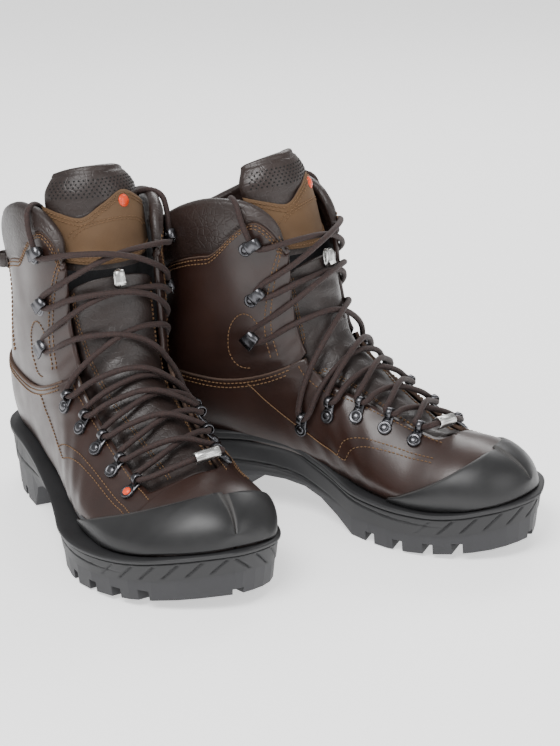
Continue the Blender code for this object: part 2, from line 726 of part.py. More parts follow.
# top edge of the badge on the right boot, from its outer end over the notch and the hump: s, h
BADGE_EDGE = np.array([(-1.0, 0.56), (-0.72, 0.66), (-0.34, 0.77), (0.02, 0.66), (0.38, 0.53), (0.66, 0.58), (1.0, 0.66)])


def badge_height(s, flip):
    return smooth_table(BADGE_EDGE, -s if flip else s)[:, 0]


def build_badge(flip):
    """The soft panel across the tongue, with its round stud."""
    columns, rows = 15, 5
    s = np.linspace(0.77, -0.77, columns)
    outer, inner = [], []
    for i in range(rows):
        f = i / (rows - 1.0)
        low = 0.075 + 0.05 * s * s
        h = low + (badge_height(s, flip) - low) * f
        outer.append(tongue_top(s, h, 2.2))
        inner.append(tongue_top(s, h, 0.8))
    body = shell("badge", np.array(outer), np.array(inner))
    at = 0.30 if flip else -0.30
    centre = tongue_top(at, 0.655, 0.0)
    normal = tongue_top(at, 0.655, 1.0) - centre
    return outward(combined("badge", body, [disc(centre, normal, 3.2, 1.6, 3.4)], "UNION"))


# ------------------------------------------------------------------ fittings

def frame_of(origin, along, normal):
    """A matrix in mm: X along, Z away from the surface."""
    z = Vector(normal).normalized()
    x = Vector(along)
    x = (x - z * x.dot(z)).normalized()
    y = z.cross(x)
    m = Matrix((x, y, z)).transposed().to_4x4()
    m.translation = Vector(origin)
    return m


def scaled(matrix):
    m = matrix.copy()
    m.translation = m.translation * MM
    return m


def ops_mesh(name, build):
    bm = bmesh.new()
    build(bm)
    bmesh.ops.recalc_face_normals(bm, faces=bm.faces)
    mesh = bpy.data.meshes.new(name)
    bm.to_mesh(mesh)
    bm.free()
    return mesh


def disc(centre, normal, radius, low, high, segments=12):
    """A round stud standing on a surface, domed a little."""
    m = scaled(frame_of(centre, (0.31, 0.95, 0.1), normal))

    def build(bm):
        cone = bmesh.ops.create_cone(bm, cap_ends=True, segments=segments, radius1=radius * MM, radius2=radius * 0.8 * MM, depth=(high - low) * MM)
        bmesh.ops.translate(bm, verts=cone["verts"], vec=(0.0, 0.0, (high + low) / 2.0 * MM))
        bmesh.ops.transform(bm, matrix=m, verts=bm.verts)

    return ops_mesh("stud", build)


def plate(length0, length1, width0, width1, low, high, shift=0.0):
    """A flat tapered plate from X length0 to length1."""
    points = []
    for z in (low, high):
        points += [(length0, shift - width0 / 2, z), (length1, shift - width1 / 2, z), (length1, shift + width1 / 2, z), (length0, shift + width0 / 2, z)]
    faces = [(3, 2, 1, 0), (4, 5, 6, 7), (0, 1, 5, 4), (1, 2, 6, 5), (2, 3, 7, 6), (3, 0, 4, 7)]
    return outward(mesh_from("plate", points, faces, merge=0.0))


def arch(x, radius, bar, width, foot, centre, steps=7):
    """A tunnel standing on a plate: legs up to the centre height, then half a ring over it."""
    path = [(x - radius, foot)]
    for i in range(steps):
        w = math.pi * i / (steps - 1.0)
        path.append((x - radius * math.cos(w), centre + radius * math.sin(w)))
    path.append((x + radius, foot))
    points, faces = [], []
    for i, (px, pz) in enumerate(path):
        w = math.pi * min(max(i - 1, 0), steps - 1) / (steps - 1.0)
        for dr, dy in ((-bar / 2, -width / 2), (bar / 2, -width / 2), (bar / 2, width / 2), (-bar / 2, width / 2)):
            points.append((px - dr * math.cos(w), dy, pz + dr * math.sin(w)))
    last = len(path) - 1
    for i in range(last):
        for j in range(4):
            k = (j + 1) % 4
            faces.append((4 * i + j, 4 * i + k, 4 * i + 4 + k, 4 * i + 4 + j))
    faces.append((3, 2, 1, 0))
    faces.append((4 * last, 4 * last + 1, 4 * last + 2, 4 * last + 3))
    return outward(mesh_from("arch", points, faces, merge=0.0))


TUNNEL_X = 9.6           # centre of the lace tunnel from the rivet
TUNNEL_Z = 3.5           # lace centre above the plate's underside
HOOK_X = 7.2             # lace centre behind a hook


def build_loop():
    """Lace loop: riveted plate with a raised tunnel at its inner end (X points inward)."""
    base = plate(-1.0, 13.2, 7.0, 5.6, 0.0, 1.2)
    parts = [disc((0, 0, 0), (0, 0, 1), RIVET_DIAMETER / 2.0, -0.15, 2.6, 10), arch(TUNNEL_X, 3.2, 1.1, 4.0, 0.6, TUNNEL_Z, 6)]
    return outward(combined("loop", base, parts, "UNION"))


def build_speed_hook():
    """Speed hook: rivet, plate and an open cup that the lace drops behind."""
    base = plate(-1.0, 11.4, 7.5, 6.0, 0.0, 1.2)
    web = plate(9.6, 11.2, 5.0, 5.0, 0.6, 6.8)
    cup = plate(3.6, 11.8, 6.6, 7.6, 6.1, 7.3)
    rivet = disc((-0.5, 0, 0), (0, 0, 1), RIVET_DIAMETER / 2.0, -0.15, 2.6, 10)
    return outward(combined("hook", base, [rivet, web, cup], "UNION"))


def build_lock_hook():
    """Locking hook: two rivets in line and a pinching hook that grips the lace."""
    base = plate(-3.2, 11.4, 16.0, 7.0, 0.0, 1.3)
    rivets = [disc((-0.6, dy, 0), (0, 0, 1), 3.8, -0.15, 2.6, 10) for dy in (-5.0, 5.0)]
    web = plate(9.6, 11.3, 5.4, 5.4, 0.6, 6.8)
    cup = plate(3.8, 12.6, 8.0, 10.5, 6.1, 7.5)
    return outward(combined("lock", base, rivets + [web, cup], "UNION"))


def build_tongue_hook():
    """Small lace keeper riveted to the middle of the tongue."""
    base = plate(-4.0, 4.0, 7.0, 7.0, 0.0, 1.0)
    web = plate(-4.0, -2.6, 6.0, 6.0, 0.5, 4.6)
    prong = plate(-4.2, 3.4, 5.0, 7.0, 4.0, 5.0)
    return outward(combined("keeper", base, [web, prong], "UNION"))


def row_place(side, row):
    """Lace loops: rows up the facing, a fixed distance outside its edge."""
    y = 230.0 - 20.5 * row - (1.0 if side > 0 else -0.5)
    outside = 8.0
    u = 6.0
    for u in np.arange(5.0, 11.5, 0.01):
        a = find_a(u, side, lambda p: side * (throat_x(p[:, 1], side) + side * outside - p[:, 0]), 0.03)
        if upper(u, a, side)[1] <= y:
            break
    return float(u), float(a)


HOOK_SPOTS = {"lock_hook": (107.0, 116.5), "speed_hook_1": (114.0, 149.0), "speed_hook_2": (112.5, 184.0)}


def fitting_matrix(u, a, side, out):
    """Frame of a fitting on the upper, X running in towards the shin line."""
    origin = upper_at(u, a, side, out)
    inward = upper_at(u, min(a + 0.05, 1.0), side, out) - origin
    return frame_of(origin, inward, upper_normal(u, a, side))


def loop_matrix(side, row):
    u, a = row_place(side, row)
    return fitting_matrix(u, a, side, 1.1)


def hook_matrix(side, which):
    y, z = HOOK_SPOTS[which]
    u, a = locate(y, z)
    inset = {"lock_hook": CUFF_INSET, "speed_hook_1": 2.4, "speed_hook_2": 1.0}[which]
    return fitting_matrix(u, a, side, 1.0 - inset)


# ------------------------------------------------------------------ lace

def local(matrix, x, y, z):
    return np.array(matrix @ Vector((x, y, z)))


def up_sign(side):
    """Whether a fitting's Y points up the boot (outer side) or down it (inner side)."""
    return 1.0 if side > 0 else -1.0


def over_tongue(start, end, over):
    """Three points from one fitting to the one across, hugging the instep between them."""
    (u0, a0, side0), (u1, a1, side1) = start, end
    v0 = side0 * (1.0 - a0)
    v1 = side1 * (1.0 - a1)
    points = []
    for f, out in ((0.22, 4.6), (0.5, 7.4 if over else 2.8), (0.78, 4.6)):
        v = v0 + (v1 - v0) * f
        u = u0 + (u1 - u0) * f
        points.append(upper_at(u, 1.0 - abs(v), 1.0 if v >= 0 else -1.0, out))
    return points


def station(side, level):
    """Matrix, lace channel place and surface place of a lacing level: 0-4 loops, 5 lock, 6-7 hooks."""
    if level < LOOP_ROWS:
        matrix = loop_matrix(side, level)
        channel = (TUNNEL_X, TUNNEL_Z, 4.3)
    else:
        which = ("lock_hook", "speed_hook_1", "speed_hook_2")[level - LOOP_ROWS]
        matrix = hook_matrix(side, which)
        channel = (HOOK_X, 3.65, 6.0 if level == LOOP_ROWS else 5.0)
    return matrix, channel


def surface_place(side, level):
    if level < LOOP_ROWS:
        return row_place(side, level)
    y, z = HOOK_SPOTS[("lock_hook", "speed_hook_1", "speed_hook_2")[level - LOOP_ROWS]]
    return locate(y + 8.0, z + 1.0)


def lace_points():
    """The whole lace: outer tail, down the boot, across the lowest loops, and up again."""
    points = []

    def tail(side, rising):
        matrix, (x, z, reach) = station(side, 7)
        exit_point = local(matrix, x, up_sign(side) * (reach + 1.0), z)
        over = np.array([side * 46.5 - 3.0, 108.0, 214.8])
        inside = [np.array([side * 37.0 - 3.0, 97.0, 216.2]), np.array([side * 27.0 - 3.0, 90.0, 206.0]), np.array([side * 22.0 - 3.0, 84.0, 176.0])]
        run = [exit_point, 0.5 * (exit_point + over) + np.array([side * 1.5, 0, 0]), over] + inside
        return run if rising else run[::-1]

    def through(side, level, rising):
        matrix, (x, z, reach) = station(side, level)
        s = up_sign(side) * (1.0 if rising else -1.0)
        return [local(matrix, x, -s * reach, z), local(matrix, x, s * reach, z)]

    points += tail(1.0, False)[:-1]
    points += through(1.0, 7, False)
    side = 1.0
    for level in range(6, -1, -1):
        upper_side, side = side, -side
        u0, a0 = surface_place(upper_side, level + 1)
        u1, a1 = surface_place(side, level)
        points += over_tongue((u0, a0, upper_side), (u1, a1, side), level % 2 == 0)
        points += through(side, level, False)
    # lowest row, straight across
    start = points[-1]
    end = through(-side, 0, True)[0]
    bar = bar_points()
    points += bar if np.linalg.norm(bar[0] - start) < np.linalg.norm(bar[-1] - start) else bar[::-1]
    del end
    side = -side
    points += through(side, 0, True)
    for level in range(1, 8):
        lower_side, side = side, -side
        u0, a0 = surface_place(lower_side, level - 1)
        u1, a1 = surface_place(side, level)
        points += over_tongue((u0, a0, lower_side), (u1, a1, side), level % 2 == 0)
        points += through(side, level, True)
    points += tail(side, True)[1:]
    return points


def bar_points():
    """The lowest run of lace, straight where the tag sits."""
    middle = upper_at(5.35, 1.0, 1.0, 6.2)
    across = np.array([1.0, 0.05, -0.16])
    across = across / np.linalg.norm(across)
    return [middle + across * 14.0, middle + across * 2.0, middle - across * 15.0]


def tag_frame():
    points = bar_points()
    along = points[0] - points[-1]
    centre = 0.5 * (points[0] + points[-1]) - along / np.linalg.norm(along) * 2.0
    return frame_of(centre, along, (0.0, 0.75, 0.66))


def build_lace_tag():
    """Channel-shaped tag that rides on the lace."""
    profile = [(-3.4, -2.2), (-2.5, -2.2), (-2.5, 2.5), (2.5, 2.5), (2.5, -2.2), (3.4, -2.2), (3.4, 3.5), (-3.4, 3.5)]
    points = [(x, y, z) for x in (-8.0, 8.0) for y, z in profile]
    n = len(profile)
    faces = [(k, (k + 1) % n, n + (k + 1) % n, n + k) for k in range(n)]
    faces += [tuple(range(n))[::-1], tuple(range(n, 2 * n))]
    return outward(mesh_from("tag", points, faces, merge=0.0))


def build_heel_pull():
    """Folded strap loop standing out from the rear quarter."""
    return arch(0.0, 4.6, 1.6, 9.5, 0.7, 3.0, 7)


def heel_pull_matrix():
    u, a = locate(42.0, 166.0)
    origin = upper_at(u, a, 1.0, -0.4)
    normal = upper_normal(u, a, 1.0)
    ahead = np.cross(np.array([0.0, 0.0, 1.0]), normal)
    return frame_of(origin, ahead, normal)


def tongue_hook_matrix():
    origin = upper_at(12.85, 1.0, 1.0, -2.6)
    return frame_of(origin, (0.0, 0.0, -1.0), upper_normal(12.85, 1.0, 1.0))


def placed(mesh, matrix):
    mesh = mesh.copy()
    mesh.transform(scaled(matrix))
    return mesh


# ------------------------------------------------------------------ the pair

SHAPES = {
    "outsole": (build_outsole(), "tread"),
    "midsole": (build_midsole(), "rubber"),
    "toe_rand": (build_toe_rand(), "rubber"),
    "upper_foot": (build_upper_foot(), "leather"),
    "ankle_cuff": (build_ankle_cuff(), "leather"),
    "tongue_lower": (build_tongue_lower(), "leather_soft"),
    "tongue_upper": (build_tongue_upper(), "leather_soft"),
    "footbed": (build_footbed(), "foam"),
    "tongue_hook": (placed(build_tongue_hook(), tongue_hook_matrix()), "metal"),
}
LOOP = build_loop()
SPEED_HOOK = build_speed_hook()
LOCK_HOOK = build_lock_hook()
TONGUE_TOP_MESH = build_tongue_top()
HEEL_PULL = build_heel_pull()
LACE_TAG = build_lace_tag()


def add_lace(boot):
    name = boot.label + "_lace"
    curve = bpy.data.curves.new(name, "CURVE")
    curve.dimensions = "3D"
    curve.bevel_depth = LACE_DIAMETER / 2.0 * MM
    curve.bevel_resolution = 2
    curve.use_fill_caps = True
    route = lace_points()
    spline = curve.splines.new("POLY")
    spline.points.add(len(route) - 1)
    for target, p in zip(spline.points, route):
        target.co = (*boot.point(p), 1.0)
    obj = bpy.data.objects.new(name, curve)
    curve.materials.append(material_for(name, "lace"))
    obj.parent = boot.frame
    link(obj, PARTS)


def build_boot(label, pose, mirror):
    boot = Boot(label, pose, mirror)
    ankle = (0.0, *ANKLE_AXIS)
    cuff_borne = ("ankle_cuff", "tongue_upper", "tongue_hook")
    for name, (mesh, kind) in SHAPES.items():
        boot.add(name, mesh, kind, ankle if name in cuff_borne else (0.0, 0.0, 0.0))
    hinge = tuple(TONGUE_TOP[0, 1:3] - np.array([4.0, 0.0]))
    boot.add("tongue_top", TONGUE_TOP_MESH, "leather_soft", (0.0, *hinge))
    boot.add("badge", build_badge(mirror), "nubuck", (0.0, *hinge))
    for side, word in ((1.0, "outer"), (-1.0, "inner")):
        for row in range(LOOP_ROWS):
            boot.add("loop_%s_%d" % (word, row + 1), placed(LOOP, loop_matrix(side, row)), "metal")
        boot.add("lock_hook_" + word, placed(LOCK_HOOK, hook_matrix(side, "lock_hook")), "metal", ankle)
        for i in (1, 2):
            mesh = placed(SPEED_HOOK, hook_matrix(side, "speed_hook_%d" % i))
            boot.add("speed_hook_%s_%d" % (word, i), mesh, "metal", ankle)
    add_lace(boot)
    boot.add("lace_tag", placed(LACE_TAG, tag_frame()), "silver", tuple(tag_frame().translation))
    pull = heel_pull_matrix()
    boot.add("heel_pull", placed(HEEL_PULL, pull), "leather_soft", tuple(pull.translation))


build_boot("right", RIGHT_POSE, False)
build_boot("left", LEFT_POSE, True)
bpy.context.view_layer.update()
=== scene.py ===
"""Looks of the pair of mountaineering boots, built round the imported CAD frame."""

import json
import math
from functools import lru_cache

import bmesh
import bpy
import numpy as np
from mathutils import Matrix, Vector


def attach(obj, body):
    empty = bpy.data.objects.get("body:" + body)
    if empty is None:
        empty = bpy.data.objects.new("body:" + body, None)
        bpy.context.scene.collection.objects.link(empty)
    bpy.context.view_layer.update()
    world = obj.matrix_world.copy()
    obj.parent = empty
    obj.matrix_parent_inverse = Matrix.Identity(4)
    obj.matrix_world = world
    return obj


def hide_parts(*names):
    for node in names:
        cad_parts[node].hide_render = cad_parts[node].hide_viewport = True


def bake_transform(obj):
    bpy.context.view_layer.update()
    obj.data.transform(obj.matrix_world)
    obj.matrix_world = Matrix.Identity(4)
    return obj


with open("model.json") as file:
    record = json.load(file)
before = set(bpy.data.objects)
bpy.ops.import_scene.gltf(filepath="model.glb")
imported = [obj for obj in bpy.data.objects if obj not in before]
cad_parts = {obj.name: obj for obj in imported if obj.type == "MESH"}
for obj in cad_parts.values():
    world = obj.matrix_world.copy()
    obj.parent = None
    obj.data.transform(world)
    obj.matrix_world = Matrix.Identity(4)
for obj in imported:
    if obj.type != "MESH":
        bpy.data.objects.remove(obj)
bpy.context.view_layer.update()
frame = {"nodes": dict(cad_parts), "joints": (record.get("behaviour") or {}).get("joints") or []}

# ------------------------------------------------------------------ the boot's surface, in mm
# x out to the little-toe side, y forward from the heel, z up

MM = 0.001
SOLE_MIDDLE = 150.0
SOLE_LENGTH = 300.0
LEATHER = 3.0            # leather with its lining, foot part
CUFF_INSET = 6.0         # the ankle cuff runs inside the foot part
GAP = 0.5
LACE_DIAMETER = 4.0
RIVET_DIAMETER = 9.0
LOOP_ROWS = 5
ANKLE_AXIS = (70.0, 98.0)      # y, z of the flex axis
SECTIONS = np.array([
    (300.0, 44.0, 300.0, 35.0, 1.0, .40, 2.0, 2.0, 2.0, -14.0, -14.0),
    (297.5, 51.0, 298.0, 30.0, 13.0, .35, 2.0, 2.0, 2.6, -15.0, -14.0),
    (291.0, 57.5, 292.0, 27.0, 25.0, .35, 1.9, 2.0, 2.8, -16.0, -12.5),
    (281.0, 63.0, 282.0, 26.0, 35.5, .34, 1.8, 2.0, 3.0, -16.5, -9.0),
    (266.0, 68.0, 267.0, 25.0, 44.0, .33, 1.7, 1.9, 3.2, -17.0, -5.0),
    (248.0, 71.5, 249.0, 24.0, 50.0, .31, 1.45, 1.7, 3.4, -18.0, -2.0),
    (230.0, 77.0, 230.0, 24.0, 52.5, .30, 1.25, 1.55, 3.4, -18.0, 0.0),
    (208.0, 88.0, 206.0, 25.0, 52.0, .30, 1.35, 1.6, 3.2, -14.0, 2.5),
    (188.0, 100.0, 180.0, 27.0, 48.0, .32, 1.6, 1.7, 3.0, -10.0, 5.0),
    (171.0, 113.0, 150.0, 29.0, 43.5, .35, 1.8, 1.9, 2.8, -6.0, 6.0),
    (160.0, 127.0, 115.0, 31.0, 42.0, .40, 2.1, 2.1, 2.8, -4.0, 4.5),
    (153.0, 144.0, 70.0, 32.0, 43.0, .48, 2.4, 2.4, 2.8, -3.0, 2.0),
    (149.0, 160.0, 28.0, 32.0, 44.0, .54, 2.7, 2.7, 2.8, -3.0, 0.0),
    (147.0, 174.0, 4.0, 48.0, 45.0, .57, 2.9, 2.9, 2.6, -3.0, 0.0),
    (145.0, 187.0, 1.0, 74.0, 46.0, .57, 3.0, 3.0, 2.3, -3.0, 0.0),
    (143.5, 197.0, 7.0, 102.0, 46.0, .56, 3.0, 3.0, 2.1, -3.5, 0.0),
    (142.0, 205.0, 12.0, 130.0, 46.0, .54, 3.0, 3.0, 2.0, -4.0, 0.0),
    (140.0, 212.0, 13.0, 155.0, 46.5, .52, 3.0, 3.0, 2.0, -4.0, 0.0),
    (138.0, 219.0, 10.0, 178.0, 47.0, .50, 3.0, 3.0, 2.0, -4.5, 0.0),
    (135.0, 232.0, 8.0, 190.0, 47.5, .50, 3.0, 3.0, 2.0, -4.5, 0.0),
])
LAST_SECTION = len(SECTIONS) - 1.0
OUTLINE = np.array([
    (0.0, 4.0, -4.0), (3.0, 16.0, -16.0), (11.6, 27.5, -27.5), (27.0, 36.5, -36.0),
    (48.0, 41.0, -40.0), (75.0, 42.5, -39.0), (100.0, 43.5, -35.0), (136.0, 47.0, -34.0),
    (155.0, 50.5, -36.5), (175.0, 55.0, -42.5), (194.0, 59.5, -50.5), (213.0, 60.8, -56.0),
    (231.0, 58.5, -58.5), (250.0, 52.0, -58.0), (268.0, 42.5, -54.0), (283.0, 29.5, -47.0),
    (294.0, 13.0, -38.0), (301.0, -4.0, -26.0), (303.5, -12.0, -18.0),
])
TREAD = np.array([
    (0.0, 4.0), (10.0, 0.6), (16.0, 0.0), (78.0, 0.0), (86.0, 16.0), (98.0, 21.0), (118.0, 23.5),
    (140.0, 22.0), (156.0, 17.5), (172.0, 9.0), (188.0, 0.0), (208.0, 0.0), (240.0, 1.1),
    (270.0, 4.1), (290.0, 7.1), (303.5, 9.7),
])
SOLE_JOINT = np.array([
    (0.0, 24.0), (60.0, 23.0), (84.0, 25.0), (100.0, 26.8), (120.0, 28.0), (140.0, 26.6),
    (165.0, 21.0), (190.0, 15.5), (230.0, 15.0), (265.0, 17.5), (290.0, 22.0), (303.5, 25.5),
])
RIM = np.array([
    (0.0, 46.0, 46.0), (50.0, 46.5, 49.0), (78.0, 44.5, 52.0), (100.0, 40.0, 53.0),
    (130.0, 33.5, 52.5), (160.0, 30.5, 44.0), (190.0, 29.5, 34.5), (213.0, 29.0, 32.0),
    (247.0, 29.5, 30.5), (271.0, 32.0, 32.5), (290.0, 36.0, 36.5), (303.5, 39.0, 39.0),
])


def gentle(a, b):
    """Slope between two steps that never makes the curve overshoot."""
    limit = 3.0 * np.minimum(np.abs(a), np.abs(b))
    mean = 0.5 * (a + b)
    return np.where(a * b <= 0.0, 0.0, np.clip(mean, -limit, limit))



def smooth_table(table, value):
    """Rows of a table at places along its first column, with a soft curve between rows."""
    table = np.asarray(table, float)
    value = np.clip(np.atleast_1d(np.asarray(value, float)), table[0, 0], table[-1, 0])
    index = np.clip(np.searchsorted(table[:, 0], value, side="right") - 1, 0, len(table) - 2)
    before = np.maximum(index - 1, 0)
    after = np.minimum(index + 2, len(table) - 1)
    span = table[index + 1, 0] - table[index, 0]
    f = ((value - table[index, 0]) / span)[:, None]
    y1 = table[index, 1:]
    y2 = table[index + 1, 1:]
    step = (y2 - y1) / span[:, None]
    step0 = (y1 - table[before, 1:]) / np.maximum(table[index, 0] - table[before, 0], 1e-9)[:, None]
    step2 = (table[after, 1:] - y2) / np.maximum(table[after, 0] - table[index + 1, 0], 1e-9)[:, None]
    step0 = np.where((before == index)[:, None], step, step0)
    step2 = np.where((after == index + 1)[:, None], step, step2)
    slope1 = gentle(step0, step) * span[:, None]
    slope2 = gentle(step, step2) * span[:, None]
    a = 2.0 * y1 - 2.0 * y2 + slope1 + slope2
    b = -3.0 * y1 + 3.0 * y2 - 2.0 * slope1 - slope2
    return ((a * f + b) * f + slope1) * f + y1

SECTION_TABLE = np.hstack([np.arange(len(SECTIONS))[:, None], SECTIONS])


def upper(u, a, side):
    """Points of the outer face of the upper. u runs from the toe (0) to the collar (18);
    a runs from the bottom or back middle line (-1) over the widest place (0) to the shin (1)."""
    u, a, side = np.broadcast_arrays(np.asarray(u, float), np.asarray(a, float), np.asarray(side, float))
    shape = u.shape
    row = smooth_table(SECTION_TABLE, u.ravel())
    a = np.clip(a.ravel(), -1.0, 1.0)
    side = side.ravel()
    yt, zt, yb, zb, width, k, p, s, n, xt, xb = row.T
    q = np.abs(np.sin(a * math.pi / 2.0))
    high = a >= 0.0
    t = np.where(high, k + (1.0 - k) * q, k - k * q)
    top = np.maximum(1.0 - q ** p, 0.0) ** (1.0 / s)
    low = np.maximum(1.0 - q ** n, 0.0) ** (1.0 / n)
    x = xb + (xt - xb) * t + side * width * np.where(high, top, low)
    y = yb + (yt - yb) * t
    z = zb + (zt - zb) * t
    return np.stack([x, y, z], -1).reshape(shape + (3,))



def side_normal(u, a, side):
    a = np.clip(a, -0.985, 0.985)
    u = np.clip(u, 0.05, LAST_SECTION - 0.05)
    du = upper(u + 0.04, a, side) - upper(u - 0.04, a, side)
    da = upper(u, a + 0.012, side) - upper(u, a - 0.012, side)
    n = np.cross(da, du) * side[..., None]
    return n / np.maximum(np.linalg.norm(n, axis=-1, keepdims=True), 1e-9)



def upper_normal(u, a, side):
    """Outward direction, evened out over the middle lines and turned to the front at the toe tip."""
    u, a, side = np.broadcast_arrays(np.asarray(u, float), np.asarray(a, float), np.asarray(side, float))
    mix = np.clip((np.abs(a) - 0.90) / 0.10, 0.0, 1.0)[..., None]
    n = side_normal(u, a, side) + mix * side_normal(u, a, -side)
    n = n / np.maximum(np.linalg.norm(n, axis=-1, keepdims=True), 1e-9)
    tip = np.clip(1.0 - u / 0.5, 0.0, 1.0)[..., None]
    n = n * (1.0 - tip) + np.array([0.0, 1.0, 0.0]) * tip
    return n / np.maximum(np.linalg.norm(n, axis=-1, keepdims=True), 1e-9)



def upper_at(u, a, side, out):
    """A point of the upper, moved out from its face by a distance in mm."""
    return upper(u, a, side) + upper_normal(u, a, side) * np.asarray(out, float)[..., None]



def find_a(u, side, test, start=-1.0):
    """The place a on section u where test(point) turns from below zero to above it."""
    grid = np.linspace(start, 1.0, 401)
    values = test(upper(np.full(401, float(u)), grid, side))
    over = np.nonzero(values > 0.0)[0]
    if len(over) == 0:
        return 1.0
    i = over[0]
    if i == 0:
        return start
    return grid[i - 1] + (grid[i] - grid[i - 1]) * values[i - 1] / (values[i - 1] - values[i])



def rim_height(y, side):
    row = smooth_table(RIM, y)
    return row[:, 0] if side > 0 else row[:, 1]



def seam_height(y):
    """Top edge of the foot part at the ankle, a shallow U."""
    y = np.asarray(y, float)
    return 91.0 + np.where(y > 78.0, 19.0 * ((y - 78.0) / 67.0) ** 2, 9.0 * ((78.0 - y) / 72.0) ** 2)



def rand_height(y, side):
    """Top edge of the toe rand: from the rim at the ball, up and over the toe."""
    start = 172.0 if side > 0 else 206.0
    f = np.clip((np.asarray(y, float) - start) / (287.0 - start), 0.0, 1.5)
    rise = 37.0 * f ** 1.25
    return rim_height(y, side) + rise

THROAT_START = 4.9


def throat_x(y, side):
    """Where the facing edge runs beside the tongue."""
    f = np.clip((236.0 - np.asarray(y, float)) / 86.0, 0.0, 1.3)
    return 18.0 + 11.0 * f if side > 0 else -29.0 - 5.5 * f



def throat_a(u, side):
    """The facing edge on section u, rounded off at the toe end."""
    full = find_a(u, side, lambda p: side * (throat_x(p[:, 1], side) - p[:, 0]), 0.03)
    f = np.clip((u - THROAT_START) / 0.55, 0.0, 1.0)
    return 1.0 - (1.0 - full) * math.sqrt(max(1.0 - (1.0 - f) ** 2, 0.0))



def foot_edge_a(u, side):
    if u <= THROAT_START:
        return 1.0
    edge = throat_a(u, side)
    if u > 8.6:
        edge = min(edge, find_a(u, side, lambda p: p[:, 2] - seam_height(p[:, 1])))
    return edge



def grid_faces(rows, columns, closed_rows=False):
    faces = []
    for i in range(rows if closed_rows else rows - 1):
        for j in range(columns - 1):
            k = (i + 1) % rows
            faces.append((i * columns + j, i * columns + j + 1, k * columns + j + 1, k * columns + j))
    return faces



def side_x(y, side):
    row = smooth_table(OUTLINE, y)
    return row[:, 0] if side > 0 else row[:, 1]



def table_height(table, shift=0.0):
    return lambda y, side: smooth_table(table, y)[:, 0] + shift

FOOT_STATIONS = [0, .12, .35, .7, 1.1, 1.6, 2.2, 2.8, 3.5, 4.2, THROAT_START, 5.05, 5.3, 5.7, 6.4, 7.2, 8.0, 8.8, 9.4, 10.1, 10.9, 11.7, 12.4, 13.0, 13.6, 14.2]


def foot_end_u():
    """Where the ankle seam meets the back of the heel."""
    for u in np.arange(13.0, 17.0, 0.01):
        back = upper(u, -0.965, 1.0)
        if back[2] >= seam_height(back[1]):
            return float(u)
    return 15.0



@lru_cache(maxsize=None)
def rand_levels(u, side):
    low = find_a(u, side, lambda p: p[:, 2] - rim_height(p[:, 1], side) - 3.2)
    high = find_a(u, side, lambda p: p[:, 2] - rand_height(p[:, 1], side))
    return low, max(low, high)



@lru_cache(maxsize=None)
def rand_end_u(side):
    """Where the rand runs out against the rim."""
    for u in np.arange(4.0, 11.0, 0.02):
        low, high = rand_levels(u, side)
        if high - low < 0.02:
            return float(u)
    return 11.0



def locate(y, z):
    """The (u, a) of the upper that lies at y, z in side view."""
    u = np.linspace(0.0, LAST_SECTION, 1901)
    yt, zt, yb, zb, _, k = smooth_table(SECTION_TABLE, u)[:, :6].T
    cross = (yt - yb) * (z - zb) - (zt - zb) * (y - yb)
    change = np.nonzero(np.diff(np.sign(cross)) != 0)[0]
    i = int(change[0]) if len(change) else int(np.argmin(np.abs(cross)))
    t = ((y - yb[i]) * (yt[i] - yb[i]) + (z - zb[i]) * (zt[i] - zb[i])) / ((yt[i] - yb[i]) ** 2 + (zt[i] - zb[i]) ** 2)
    t = min(max(t, 0.0), 1.0)
    q = (t - k[i]) / (1.0 - k[i]) if t >= k[i] else (k[i] - t) / k[i]
    a = math.asin(min(q, 1.0)) * 2.0 / math.pi
    return float(u[i]), (a if t >= k[i] else -a)

COLLAR = np.array([(10.0, 178.0), (22.0, 183.0), (40.0, 193.0), (62.0, 204.0), (84.0, 210.5), (104.0, 211.5), (120.0, 207.5), (131.0, 198.0), (136.0, 184.0)])
TONGUE_TOP = np.array([
    (0.0, 136.5, 176.0, 32.0, 19.0), (0.25, 132.5, 191.0, 32.0, 20.5), (0.5, 128.5, 207.0, 32.5, 22.0),
    (0.78, 123.5, 224.0, 31.5, 24.0), (1.0, 118.5, 238.0, 25.0, 22.0),
])


def tongue_top(s, h, out=0.0):
    """A point of the tongue top: s across from inner (-1) to outer side (1), h up."""
    s, h, out = np.broadcast_arrays(np.asarray(s, float), np.asarray(h, float), np.asarray(out, float))

    def place(s, h):
        row = smooth_table(TONGUE_TOP, h.ravel())
        y, z, width, back = row.T
        t = s.ravel()
        x = -2.0 + width * np.sin(t * 1.25) / math.sin(1.25)
        y = y - back * (1.0 - np.cos(t * 1.25)) / (1.0 - math.cos(1.25))
        z = z - 7.0 * np.abs(t) ** 2.5 * h.ravel() ** 3
        return np.stack([x, y, z], -1).reshape(s.shape + (3,))

    e = 0.01
    ds = place(s + e, h) - place(s - e, h)
    dh = place(s, np.clip(h + e, 0, 1)) - place(s, np.clip(h - e, 0, 1))
    n = np.cross(dh, ds)
    n = n / np.linalg.norm(n, axis=-1, keepdims=True)
    return place(s, h) + n * out[..., None]

BADGE_EDGE = np.array([(-1.0, 0.56), (-0.72, 0.66), (-0.34, 0.77), (0.02, 0.66), (0.38, 0.53), (0.66, 0.58), (1.0, 0.66)])


def badge_height(s, flip):
    return smooth_table(BADGE_EDGE, -s if flip else s)[:, 0]



def frame_of(origin, along, normal):
    """A matrix in mm: X along, Z away from the surface."""
    z = Vector(normal).normalized()
    x = Vector(along)
    x = (x - z * x.dot(z)).normalized()
    y = z.cross(x)
    m = Matrix((x, y, z)).transposed().to_4x4()
    m.translation = Vector(origin)
    return m

TUNNEL_X = 9.6           # centre of the lace tunnel from the rivet
TUNNEL_Z = 3.5           # lace centre above the plate's underside
HOOK_X = 7.2             # lace centre behind a hook


